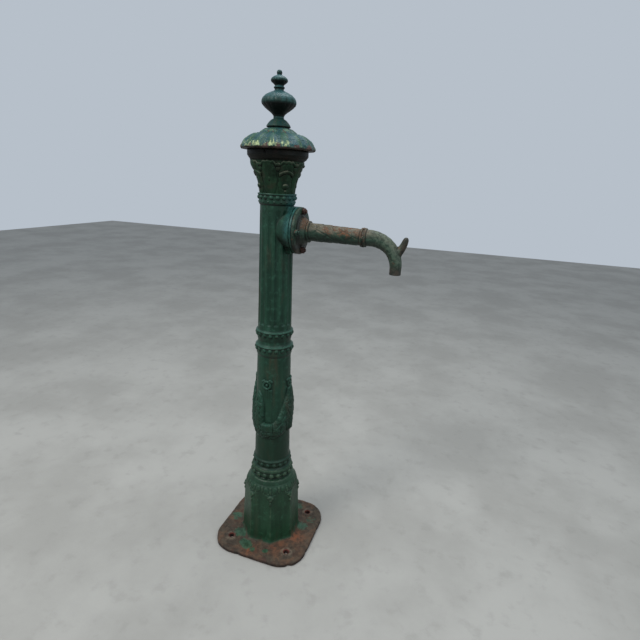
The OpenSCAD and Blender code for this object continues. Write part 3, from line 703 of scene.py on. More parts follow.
def make_pedestal():
    nt = 480
    th = np.arange(nt) * 360.0 / nt
    out = plate_outline(th)
    rows = []
    for f in (0.0, 0.4, 0.75, 0.94, 1.0):
        rows.append((70 + (out - 2.5 - 70) * f, 0.0))
    for dr, z in ((-0.6, 1.2), (0.0, 3.0), (0.2, 7.0), (-0.2, 10.5), (-1.4, 13.0), (-3.4, 14.6), (-6.0, 15.2)):
        rows.append((out + dr, z))
    foot = octagon(th, 121.0)
    n_top = 34
    for k in range(1, n_top):
        r = (out - 6.0) + (foot - (out - 6.0)) * (k / n_top) ** 0.92
        x, y = r * np.cos(th * RAD), r * np.sin(th * RAD)
        P = np.stack([x, y, 0 * x], -1)
        z = 15.3 + 0.55 * noise(P, 24, 3) + 0.25 * noise(P + 90, 7, 2)
        for hx in (-115, 115):
            for hy in (-115, 115):
                d = np.hypot(x - hx, y - hy)
                z = z + 2.6 * (1 - step(17.5, 24.5, d)) - 1.5 * (1 - step(9.5, 14.0, d))
        rows.append((r, z))
    prof_bell = profile([(150, 140), (187, 111), (200, 106.5), (210, 103.6), (220, 101), (226, 98.6), (229, 97.2), (231, 98.0), (234, 97.6), (244, 94.6), (254, 90.6), (257, 89.0), (259, 87.0), (265, 85.0), (270, 82.8), (273, 81.0), (275, 79.2),
                         (276.4, 75.4), (277.6, 71.2), (279.4, 69.6), (282, 70.2), (284.5, 72.4), (288, 73.4), (298, 73.8), (302, 74.4), (304, 75.6), (306, 76.3), (309.5, 76.3), (312, 75.2), (315, 73), (330, 72)], 0.55)
    z_out = steps((15.6, 34, 1.8), (34, 150, 6), (150, 196, 3), (196, 315, 1.35))
    spread = np.interp(z_out, [15, 17, 20, 24, 29, 34, 40], [9.0, 7.0, 4.4, 2.4, 0.9, 0.2, 0])
    R_oct = np.interp(z_out, [10, 290], [112, 101])
    TH, Z = np.meshgrid(th, z_out)
    octo = R_oct[:, None] * math.cos(22.5 * RAD) / np.cos(wrap(TH, 45.0) * RAD)
    # slightly rounded arrises
    octo = smin(octo, np.broadcast_to((R_oct * 0.992)[:, None], octo.shape), 1.2)
    bell = np.broadcast_to(prof_bell(z_out)[:, None], octo.shape)
    r = smin(octo, bell, 1.5)
    inside = step(150, 188, Z) * (1 - step(226, 232, Z))
    r = r + 2.0 * np.exp(-((octo - bell) / 3.0) ** 2) * inside
    # eggs in their cups round the bell
    rel = Relief(th, z_out, 95.0)
    for k in range(18):
        a = -59 + 20 * k
        rel.ball(a, 243.5, 9.5, 11.0, 2.4)
        rel.leaf(a + 10, 240, 270, 22, 9.0, 2.0, vein=0.4)
        rel.ball(a + 10, 251, 4.6, 4.0, 1.8)
        rel.ball(a + 5, 232, 4.4, 3.6, 1.4)
        rel.ball(a - 5, 232, 4.4, 3.6, 1.4)
    # drops at the arrises
    for k in range(8):
        a = -68.5 + 45 * k
        rel.leaf(a, 213, 270, 25, 14, 3.0, vein=0.4)
        rel.ball(a - 3.6, 217, 5.4, 5.0, 2.6)
        rel.ball(a + 3.6, 217, 5.4, 5.0, 2.6)
        rel.ball(a, 192, 4.2, 6.4, 4.0)
        rel.ball(a, 209, 5.0, 5.6, 4.4)
    r = r + np.maximum(rel.h, 0)
    r = beads(r, TH, Z, -67.5, 293.0, 71.4, 9.8, 10.4, 0.9)
    r = r + spread[:, None] / np.cos(wrap(TH, 45.0) * RAD)
    for k in range(len(z_out)):
        rows.append((r[k], float(z_out[k])))
    for rr, z in ((60, 315), (50, 315), (50, 303), (30, 303), (30, 289), (50, 289), (70, 289), (70, 258), (76, 229), (82, 200), (82, 100), (82, 14.5), (76, 14.0), (70, 14.0), (70, 7)):
        rows.append((float(rr) + 0 * th, float(z)))
    obj = grid_object("pedestal_casting", ring_rows(th, rows), loop=True)
    cutters = []
    for hx in (-115, 115):
        for hy in (-115, 115):
            a = np.arange(40) * 2 * np.pi / 40
            P = np.zeros((4, 40, 3))
            for k, (z, rr) in enumerate(((-5, 10.0), (5, 10.0), (14, 10.0), (26, 11.0))):
                w = rr + 0.35 * np.sin(3 * a + hx) + 0.25 * np.sin(5 * a + hy)
                P[k] = np.stack([hx + w * np.cos(a), hy + w * np.sin(a), 0 * a + z], -1)
            V, q, t = grid(P, pole0=(hx, hy, -5), pole1=(hx, hy, 26))
            cutters.append(make_mesh("hole", V, q, t))
    cutter = put_together("holes", cutters)
    boolean(obj, cutter, "DIFFERENCE")
    obj.name = obj.data.name = "pedestal_casting"
    finish_mesh(obj, 38, 0.22, 10)
    return obj


# ---------------------------------------------------------------- lower column
def bow(rel, a, z):
    """A round knot of ribbon with two wings above it, and its button."""
    deg = 1 / (rel.R * RAD)
    rel.band([(a - 5 * deg, z + 6), (a - 12 * deg, z + 12), (a - 18 * deg, z + 9)], 9.0, 4.6)
    rel.band([(a + 4 * deg, z + 8), (a + 12 * deg, z + 14), (a + 19 * deg, z + 9)], 9.5, 5.0)
    rel.band([(a + 13.5 * math.cos(t * RAD) * deg, z - 4 + 13.5 * math.sin(t * RAD)) for t in range(0, 361, 24)], 9.5, 5.6)
    rel.ball(a, z - 4, 6.5, 6.5, 7.2)


def make_lower_column():
    nt = 360
    th = np.arange(nt) * 360.0 / nt
    base = profile([(309, 71.0), (315, 71.0), (317.5, 68.8), (320, 66.4), (322.5, 65.2), (325, 65.6), (328, 66.6), (333, 67.2), (340, 67.4), (341.5, 68.2), (343.5, 69.4), (346, 70.3), (348.5, 70.1), (350.5, 68.4), (353, 66.4), (357, 65.2),
                    (375, 65), (430, 64), (560, 62), (705, 60.4), (755, 59.4), (761, 59.4), (764, 61.0), (770, 62.4), (778, 63.2), (785, 63.4), (791, 63.6), (793.5, 65.2), (796, 66.6), (798, 66.8), (800, 65.6), (801.5, 62.5),
                    (804, 60.2), (808, 58.4), (815, 57.6), (820, 57.6)], 0.5)
    z = steps((315, 360, 1.2), (360, 436, 6.5), (436, 692, 1.75), (692, 756, 6.5), (756, 806, 1.15), (806, 815, 3.0))
    TH, Z = np.meshgrid(th, z)
    r = np.broadcast_to(base(z)[:, None], TH.shape).copy()
    body = Relief(th, z, 66.0)
    top = Relief(th, z, 66.0)
    rng = np.random.default_rng(5)
    deg = 1 / (66.0 * RAD)

    def garland(way, crowd=1.0):
        w = np.array(way, float)
        w[:, 0] += c
        seg = np.hypot(np.diff(w[:, 0]) / deg, np.diff(w[:, 1]))
        t = np.concatenate([[0], np.cumsum(seg)])
        for s_ in np.arange(0, t[-1], 2.5):
            a, zz, half, lift = (np.interp(s_, t, w[:, k]) for k in range(4))
            body.ball(a, zz, half, half, lift)
        for s_ in np.arange(2, t[-1], 8.0 / crowd):
            a, zz, half, lift = (np.interp(s_, t, w[:, k]) for k in range(4))
            a2, z2 = np.interp(s_ + 3, t, w[:, 0]), np.interp(s_ + 3, t, w[:, 1])
            a1, z1 = np.interp(s_ - 3, t, w[:, 0]), np.interp(s_ - 3, t, w[:, 1])
            d = math.degrees(math.atan2(z2 - z1, (a2 - a1) / deg + 1e-9))
            nx, nz = -math.sin(d * RAD), math.cos(d * RAD)
            n = max(2, int(round(half / 8.5)))
            for k in range(n):
                off = half * 0.92 * (2 * (k + rng.random()) / n - 1)
                turn = d + 42 * np.sign(off) * min(1, abs(off) / half + 0.2) + 30 * (rng.random() - 0.5)
                top.leaf(a + off * nx * deg, zz + off * nz, turn, 19 + 6 * rng.random(), 10.5, 2.6 + rng.random(), 0.0, 0.9, 0.8)

    for q in range(2):
        c = -90.0 + 180 * q
        # the strap that hangs from the bow to the garland
        w = body.window(c + 9, 575, 66)
        rows, cols, x, y = w
        flat = 2.4 * np.clip(1 - (np.abs(x) / 12.2) ** 6, 0, 1) ** 0.5 - 0.5 * np.exp(-((x - 3.5) / 1.0) ** 2) - 0.4 * np.exp(-((x + 5.0) / 1.0) ** 2) + 0.35 * np.sin(y / 9.0)
        body.take(rows, cols, np.where((np.abs(x) < 12.2) & (y < 66) & (y > -66), flat, -1e3))
        # the garland, from the bow on the right round to the bow on the left
        garland([(90, 646, 9, 8), (85, 632, 12, 9), (80, 604, 15, 11.0), (75, 575, 21.5, 12.6), (67, 541, 27, 13.6), (55, 507, 29, 14), (40, 485, 31, 13.6), (22, 478, 31, 13), (8, 478, 31, 13), (-6, 478, 31, 13),
                 (-20, 481, 31, 13.2), (-35, 491, 30, 13.6), (-49, 513, 29, 14), (-60, 543, 28, 13.6), (-70, 575, 24, 12.8), (-78, 604, 17, 11.5), (-84, 632, 12, 9), (-90, 646, 9, 8)])
        # the bunch beside the strap
        garland([(-30, 622, 9, 4.5), (-27, 606, 17, 8.5), (-26, 578, 22, 11.5), (-27, 540, 24.5, 13), (-28, 505, 24, 13)], 1.2)
        # the drop under the next bow
        garland([(90, 640, 10, 8), (90, 600, 15, 11), (90, 560, 19, 12.5), (90, 510, 22, 13), (90, 480, 20, 12)])
        for a, zz, rr, hh, n in ((4, 461, 8.5, 4.0, 5), (15, 470, 8.5, 4.0, 6), (44, 530, 9.5, 4.6, 6), (51.5, 506, 9.0, 5.0, 5), (54, 550, 8.0, 3.6, 5), (68, 573, 10.0, 4.2, 6), (-12, 579, 8.0, 4.2, 5), (-14, 556, 7.0, 3.4, 5),
                                 (-25, 562, 7.5, 3.6, 6), (-20, 488, 8.5, 4.2, 5), (-44, 530, 9.5, 4.6, 6), (-52, 506, 9.0, 4.6, 5), (-68, 573, 10.0, 4.2, 6), (35, 466, 8.0, 3.6, 5), (-36, 466, 8.0, 3.6, 6)):
            top.flower(c + a, zz, rr, hh, 0.0, n, a * 0.4)
        for a, zz in ((30, 489), (60, 528), (74, 600), (-8, 470), (-33, 480), (-58, 532), (88, 585), (92, 530), (86, 500)):
            for u in range(3):
                top.ball(c + a + 4.0 * math.cos(2.1 * u) * deg, zz + 4.0 * math.sin(2.1 * u), 4.4, 4.4, 3.8)
        # the tie round the garland
        w = body.window(c + 6.5, 493, 24)
        rows, cols, x, y = w
        d = np.maximum(np.abs(x) / 20.0, 0)
        tie = 15.4 - 2.0 * (np.abs(y) / 15.5) ** 4 - 1.6 * np.clip(d, 0, 1) ** 6 + 0.5 * np.cos(x / 2.2)
        keep = (np.abs(x) < 20.0) & (np.abs(y) < 15.5)
        body.take(rows, cols, np.where(keep, tie, -1e3))
        sub_ = top.h[np.ix_(rows, cols)]
        top.h[np.ix_(rows, cols)] = np.where(keep, 0.0, sub_)
        body.ball(c - 6.5, 503, 8.0, 8.5, 16.8)
        bow(body, c + 1.5, 662)
        bow(body, c + 90, 662)
    b = np.maximum(body.h, 0)
    # leaves only where the garland is, a little sunk into it
    detail = np.maximum(top.h, 0) - 1.6
    r = r + b + detail * step(0.3, 3.0, b) * (top.h > 0) * 1.0 - 1.6 * step(0.3, 4.0, b) * (top.h <= 0) * (Z < 612) * (b < 13.9)
    # beads of the lower ring, and of the upper one
    r = beads(r, TH, Z, -60.0, 334.5, 64.4, 8.6, 9.0, 0.9)
    r = beads(r, TH, Z, -59.5, 787.0, 61.4, 7.6, 8.6, 1.2)
    rows = [(r[k], float(z[k])) for k in range(len(z))]
    for rr, zz in ((54, 815), (50, 815), (50, 785), (46, 785), (46, 600), (46, 323), (50, 323), (50, 315), (60, 315)):
        rows.append((float(rr) + 0 * th, float(zz)))
    obj = grid_object("lower_column_casting", ring_rows(th, rows), loop=True)
    finish_mesh(obj, 40, 0.2, 11)
    return obj


def beads(r, TH, Z, phase, zc, rb, ra, rz, k=0.5):
    """A row of eighteen beads."""
    da = wrap(TH - phase, 20.0)
    q = 1 - (rb * np.sin(da * RAD) / ra) ** 2 - ((Z - zc) / rz) ** 2
    return np.where(q > 0, smax(r, rb * np.cos(da * RAD) + ra * np.sqrt(np.clip(q, 0, None)), k), r)


# ---------------------------------------------------------------- upper column
FLUTES, FLUTE_AT = 14, -61.0


def make_upper_column():
    nt = 420
    th = np.arange(nt) * 360.0 / nt
    base = profile([(809, 57.6), (815, 57.6), (820, 58.6), (826, 60), (832, 61.2), (838, 61.6), (845, 61.8), (847, 63.4), (849, 64.9), (851, 65.2), (852.8, 64.2), (854.4, 61.6), (856.5, 59.4), (860, 58.5), (864, 58.3), (876, 58.1), (934, 57.5),
                    (971, 57), (1115, 56), (1269, 55), (1275, 55), (1276.5, 56.8), (1278.5, 58.4), (1282, 59.2), (1288, 59.4), (1292, 59.2), (1296, 59.4), (1304, 60.0), (1305.5, 61.4), (1307, 62.8), (1309.5, 62.9), (1311, 62), (1316, 60)], 0.45)
    z = steps((815, 884, 1.3), (884, 1116, 12), (1116, 1250, 2.0), (1250, 1311, 1.25))
    TH, Z = np.meshgrid(th, z)
    r = np.broadcast_to(base(z)[:, None], TH.shape).copy()
    # flutes with round ends
    da = wrap(TH - FLUTE_AT, 360.0 / FLUTES) * RAD * 56.5
    w, depth = 9.0, 3.7
    lo, hi = 871.0, 1262.0
    zz = np.where(Z < lo + w, (lo + w - Z), np.where(Z > hi - w, Z - (hi - w), 0.0))
    d = np.hypot(da, zz)
    f = np.clip(1 - (d / w) ** 2, 0, 1)
    r = r - depth * f ** 0.75 * (np.abs(Z - 1060) < 300) * step(lo - 1, lo + 12, Z) * (0.12 + 0.88 * step(hi + 1, hi - 26, Z))
    # rings
    r = beads(r, TH, Z, -59.5, 841.5, 59.8, 7.4, 8.4, 1.2)
    r = beads(r, TH, Z, -64.5, 1298.5, 57.6, 7.2, 7.0)
    r = beads(r, TH, Z, -54.5, 1285.0, 56.6, 4.6, 3.6)
    # the cone that spreads to the flange
    t = TH * RAD
    c, s = np.cos(t), np.sin(t)
    h = Z - 1198.0
    k0, k1 = 40.4, 0.490
    # inside while r^2 s^2 + h^2 < (k0 + k1 r c)^2
    A = s * s - (k1 * c) ** 2
    B = -2 * k0 * k1 * c
    C = h * h - k0 * k0
    disc = np.clip(B * B - 4 * A * C, 0, None)
    with np.errstate(divide="ignore", invalid="ignore"):
        root = np.where(np.abs(A) > 1e-6, (-B + np.sqrt(disc)) / (2 * A), 1e4)
    root = np.where((A < 1e-6) | (root < 0), 1e4, root)
    root = np.where((B * B - 4 * A * C < 0), 0, root)
    cap = 70.0 / np.maximum(c, 1e-3)
    exit_ = np.minimum(root, np.where(c > 0.05, cap, 0))
    exit_ = np.where((c > 0.05) & (np.abs(h) < 73.2), exit_, 0)
    blend = 5.0 * step(150, 60, np.abs(h) + 0 * r)
    r = np.where(exit_ > r - 14, smax(r, exit_, 3.5) - np.where(exit_ < r, 0, 0), r)
    rows = [(r[k], float(z[k])) for k in range(len(z))]
    for rr, zz_ in ((54, 1311), (45, 1311), (45, 1285), (45, 1000), (45, 845), (50, 845), (50, 815), (54, 815)):
        rows.append((float(rr) + 0 * th, float(zz_)))
    obj = grid_object("upper_column_casting", ring_rows(th, rows), loop=True)
    # the flange that ends the cone
    prof_ = [(52, 24), (52, 58), (60, 66.5), (65, 71.2), (67.5, 73.2), (68.6, 72.6), (69.4, 69.8), (71.4, 69.8), (72.2, 73.8), (73.2, 75), (78.2, 75), (79, 74.2), (79, 50), (79, 24), (64, 24)]
    boolean(obj, grid_object("flange_disc", lathe_x(prof_, 0, 1198, 144), loop=True), "UNION")
    # the water passage into the branch
    P = lathe_x([(20, 24), (50, 24), (95, 24)], 0, 1198, 72)
    V, q, t = grid(P, pole0=(20, 0, 1198), pole1=(95, 0, 1198))
    boolean(obj, make_mesh("bore", V, q, t), "DIFFERENCE")
    obj.name = obj.data.name = "upper_column_casting"
    return obj


# ---------------------------------------------------------------- capital
def make_capital():
    nt = 360
    th = np.arange(nt) * 360.0 / nt
    base = profile([(1306, 55.8), (1311, 55.8), (1313, 55.8), (1329, 57.2), (1347.5, 60.8), (1363, 65.5), (1379.5, 72.3), (1394.5, 78.6), (1403, 81.4), (1408, 82.4), (1410, 84.0), (1412.5, 86.5), (1415, 90.2), (1418.5, 92.6),
                    (1420.5, 93.2), (1422, 95.4), (1424.5, 96.5), (1437, 96.5), (1439.5, 95.6), (1441, 94.5), (1445, 94)], 0.55)
    z = steps((1311, 1441, 1.15))
    TH, Z = np.meshgrid(th, z)
    r = np.broadcast_to(base(z)[:, None], TH.shape).copy()
    R = 66.0
    rel = Relief(th, z, R)
    for q in range(4):
        c = -88.5 + 90 * q
        rel_leaf(rel, c, 1311, 1404, 18.0, 3.6)
        rel_leaf(rel, c + 45, 1352, 1404, 16.5, 2.6)
        rel_leaf(rel, c + 45, 1311, 1374, 18.5, 4.2, 0.35)
        # the bud on the lower leaf
        rel.ball(c + 46, 1333, 12.5, 9.5, 9.0)
        rel.ball(c + 47, 1318.5, 7.0, 5.0, 5.6)
        # stalks and small scrolls between the leaves
        for s_ in (-1, 1):
            rel.ball(c + s_ * 22.5, 1396, 8.5, 6.0, 7.0)
            rel.ball(c + s_ * 22.5, 1384, 6.0, 7.0, 4.0)
        rel.ball(c, 1355, 8.0, 8.0, 5.4)
    rel.ball(-142, 1394, 24, 20, 7.0)
    r = r + np.maximum(rel.h, 0)
    # curled tips of the tall leaves: a wavy lip that runs all the way round
    a = wrap(TH + 88.0, 45.0)
    zc = 1404.5 - 7.0 * step(9.0, 21.0, np.abs(a)) + 1.0 * np.cos(a * RAD * 30)
    lip = 83.4 + 2.6 * (1 - step(6.0, 18.0, np.abs(a)))
    q = np.clip(1 - ((Z - zc) / np.where(Z > zc, 4.4, 6.2)) ** 2, 0, 1)
    r = np.maximum(r, np.where(q > 0, lip - 6.0 + 6.0 * np.sqrt(q), 0))
    for k in range(4):
        a = wrap(TH + 43.0 - 90 * k)
        span_ = np.clip(1 - (a / 19.5) ** 2, 0, 1)
        zc = 1377.0 - 10.0 * (np.abs(a) / 19.5) ** 1.6
        q = np.clip(1 - ((Z - zc) / np.where(Z > zc, 4.6, 6.6)) ** 2, 0, 1)
        r = np.maximum(r, np.where((q > 0) & (span_ > 0), 72.4 + (0.20 * (Z - 1377)) + 6.4 * np.sqrt(q) * span_ ** 0.4, 0))
    rows = [(r[k], float(z[k])) for k in range(len(z))]
    for rr, zz in ((89, 1441), (84, 1441), (84, 1425), (75, 1425), (75, 1411), (71, 1394.5), (65, 1379.5), (58.5, 1363), (54, 1347.5), (50, 1332), (48, 1321), (36, 1321), (35, 1321), (35, 1311), (45, 1311)):
        rows.append((float(rr) + 0 * th, float(zz)))
    obj = grid_object("capital_casting", ring_rows(th, rows), loop=True)
    cuts = []
    for a in (-90, 30, 150):
        P = lathe_x([(70, 4.0), (85, 4.0), (100, 4.6), (115, 4.6)], 0, 1432, 24)
        V, q, t = grid(P, pole0=(70, 0, 1432), pole1=(115, 0, 1432))
        c_, s_ = math.cos(a * RAD), math.sin(a * RAD)
        V = np.stack([V[:, 0] * c_ - V[:, 1] * s_, V[:, 0] * s_ + V[:, 1] * c_, V[:, 2]], -1)
        cuts.append(make_mesh("hole", V, q, t))
    # bearing bosses on the rocker shaft's line
    boss = turn_y(lathe_x([(26, 15), (26, 22), (40, 22), (70, 22), (81, 22), (83.2, 21), (84, 19.5), (84, 15), (60, 15)], 0, 0, 72), -50, 1395)
    boss_o = grid_object("boss", boss, loop=True)
    blind = turn_y(lathe_x([(-76, 15), (-76, 20), (-50, 20), (-26, 20), (-26, 15), (-50, 15)], 0, 0, 48), -50, 1395)
    P = turn_y(lathe_x([(10, 15.0), (50, 15.0), (95, 15.0)], 0, 0, 72), -50, 1395)
    V, q, t = grid(P, pole0=(-50, 10, 1395), pole1=(-50, 95, 1395))
    cuts.append(make_mesh("bore", V, q, t))
    boolean(obj, put_together("cuts", cuts), "DIFFERENCE")
    boolean(obj, boss_o, "UNION")
    obj.name = obj.data.name = "capital_casting"
    finish_mesh(obj, 42, 0.2, 9)
    return obj


def rel_leaf(rel, a0, z0, z1, half, hh, ribbed=1.0):
    """An acanthus leaf standing up from z0 to z1, half its width in degrees, lobed and ribbed towards its tip."""
    da = wrap(rel.th - a0)[None, :]
    z = rel.z[:, None]
    t = np.clip((z - z0) / (z1 - z0), 0, 1)
    lobes = 1 + 0.10 * np.abs(np.sin(np.pi * t * 3.5)) - 0.05
    w = half * (0.78 + 0.34 * np.sin(np.pi * t ** 0.9)) * (1 - 0.22 * step(0.75, 1.0, t)) * lobes
    u = da / w
    inside = (np.abs(u) < 1) & (z > z0 - 0.1) & (z <= z1)
    body = hh * np.clip(1 - np.abs(u) ** 3, 0, 1) ** 0.5 * (0.7 + 0.5 * t)
    fan = step(0.40, 0.62, t) * ribbed
    ribs = 0.35 * np.cos(np.pi * 2 * np.abs(u) * 2.0) * fan
    mid = 1.3 * np.exp(-((da - 4.5) * RAD * rel.R / 2.6) ** 2) * (1 - step(0.42, 0.55, t))
    rel.h = np.maximum(rel.h, np.where(inside, body + ribs + mid, -1e3))


# ---------------------------------------------------------------- cap and finial
def make_cap():
    nt = 384
    th = np.arange(nt) * 360.0 / nt
    pts = [(116.4, 1441.0), (117.6, 1442.4), (118.0, 1444.5), (117.9, 1447.0), (117.0, 1449.6), (115.4, 1452.2), (113.0, 1455.4), (109.4, 1460.2), (104.7, 1465.6), (99.0, 1471.0), (92.9, 1475.6), (85.5, 1480.2), (77.3, 1484.0), (68, 1486.8),
           (61.5, 1488.4), (59.4, 1489.2), (58.2, 1490.6), (54.5, 1493.4), (49.5, 1496.8), (44.5, 1500.4), (40.6, 1502.6), (36.0, 1504.0), (32.6, 1504.6), (32.4, 1506.6), (36.8, 1507.2), (38.2, 1508.0), (38.0, 1509.6), (36.6, 1513.2), (33.8, 1517.2), (29.6, 1522.4), (24.6, 1527.4), (20, 1530.4), (16.6, 1532.0)]
    # finer rows along the outline
    p = np.array(pts)
    s = np.concatenate([[0], np.cumsum(np.hypot(*np.diff(p, axis=0).T))])
    q = np.linspace(0, s[-1], 110)
    pr, pz = np.interp(q, s, p[:, 0]), np.interp(q, s, p[:, 1])
    k = np.exp(-0.5 * (np.arange(-3, 4) / 1.1) ** 2)
    k /= k.sum()
    pr2 = np.convolve(np.pad(pr, 3, mode="edge"), k, "valid")
    pz2 = np.convolve(np.pad(pz, 3, mode="edge"), k, "valid")
    rows = []
    for rr, zz in zip(pr2, pz2):
        a = wrap(th + 98.25, 22.5) / 11.25
        ridge = (1 - np.abs(np.sin(np.pi / 2 * a)) ** 0.85)
        w = step(1441, 1449, zz) * (1 - step(1484, 1489, zz)) * (0.55 + 0.45 * step(1452, 1464, zz))
        w2 = step(1488.5, 1491, zz) * (1 - step(1500, 1506, zz)) * 0.55
        lift = (ridge - 0.35) * 5.0 * (w + w2)
        # across the rim the ridges run out as small points
        rim = -2.0 * (1 - ridge) ** 2 * (1 - step(1449, 1456, zz))
        rows.append((rr + rim + 0.55 * lift * (zz < 1470) + 0.2 * lift, zz + 0.85 * lift * step(1452, 1470, zz)))
    for rr, zz in ((8, 1532), (6.3, 1532), (6.3, 1506), (20, 1506), (28, 1496), (36, 1486), (56, 1479), (70, 1470), (77.5, 1458), (77.5, 1426.5), (80, 1426.5), (83.7, 1426.5), (83.7, 1441), (95, 1441), (108, 1441)):
        rows.append((float(rr) + 0 * th, float(zz)))
    obj = grid_object("cap_casting", ring_rows(th, rows), loop=True)
    finish_mesh(obj, 46, 0.22, 9)
    return obj


def make_finial():
    nt = 252
    th = np.arange(nt) * 360.0 / nt
    base = profile([(1526, 16.0), (1532, 16.0), (1534, 16.8), (1535.5, 16.2), (1537.5, 16.0), (1543, 18.6), (1548.5, 24.4), (1557, 36.4), (1562.5, 43.4), (1571, 51.5), (1576, 53.2), (1579, 53.4), (1584, 52.4), (1590, 49.3), (1598.5, 40.6), (1605, 28),
                    (1608.5, 19.5), (1611, 14.6), (1613, 13.8), (1616, 14.4), (1617.5, 16.6), (1620.5, 16.8), (1622, 14.4), (1624, 13.5), (1626, 14.2), (1629, 17.4), (1632, 21.6), (1635, 24.6), (1638.5, 25.8), (1642, 25.0), (1645.5, 22.4), (1649, 17.8), (1651.5, 12.0),
                    (1653, 7.8), (1654.5, 6.8), (1656, 7.4), (1659, 8.4), (1662, 8.2), (1668, 4)], 0.5)
    z = steps((1532, 1662, 1.15))
    TH, Z = np.meshgrid(th, z)
    r = np.broadcast_to(base(z)[:, None], TH.shape).copy()
    w = step(1548, 1570, Z) * (1 - step(1592, 1606, Z))
    lobe = np.abs(np.cos(9 * (TH + 70) * RAD)) ** 0.7
    r = r * (1 + w * 0.030 * (lobe - 0.7))
    w = step(1629, 1634, Z) * (1 - step(1643, 1650, Z))
    lobe = np.abs(np.cos(6 * (TH + 66) * RAD)) ** 0.7
    r = r * (1 + w * 0.05 * (lobe - 0.7))
    rows = [(r[k], float(z[k])) for k in range(len(z))]
    for rr, zz in ((7.2, 1664), (6.0, 1666), (4.2, 1667.3), (2.0, 1667.9)):
        rows.append((rr + 0 * th, zz))
    rows = [(6.0 + 0 * th, 1566.0), (6.0 + 0 * th, 1545.0), (6.0 + 0 * th, 1532.0), (11.0 + 0 * th, 1532.0)] + rows
    obj = grid_object("finial_casting", ring_rows(th, rows), pole0=(0, 0, 1566), pole1=(0, 0, 1668))
    finish_mesh(obj, 46, 0.12, 7)
    return obj


# ---------------------------------------------------------------- spout
BEND_C, BEND_R, MOUTH = (318.0, 1109.0), 85.0, (403.0, 1088.0)


def spout_frame(s):
    """Centre, up vector and direction at a distance along the spout from x = 81."""
    n0 = 318.0 - 81.0
    arc = BEND_R * np.pi / 2
    if s <= n0:
        x = 81 + s
        z = np.interp(x, [81, 120, 200, 275, 318], [1198, 1197.3, 1195.6, 1193.9, 1194.0])
        return np.array([x, 0, z]), np.array([0, 0, 1.0]), np.array([1.0, 0, 0])
    if s <= n0 + arc:
        b = (s - n0) / BEND_R
        return np.array([BEND_C[0] + BEND_R * math.sin(b), 0, BEND_C[1] + BEND_R * math.cos(b)]), np.array([math.sin(b), 0, math.cos(b)]), np.array([math.cos(b), 0, -math.sin(b)])
    return np.array([MOUTH[0], 0, BEND_C[1] - (s - n0 - arc)]), np.array([1.0, 0, 0]), np.array([0, 0, -1.0])


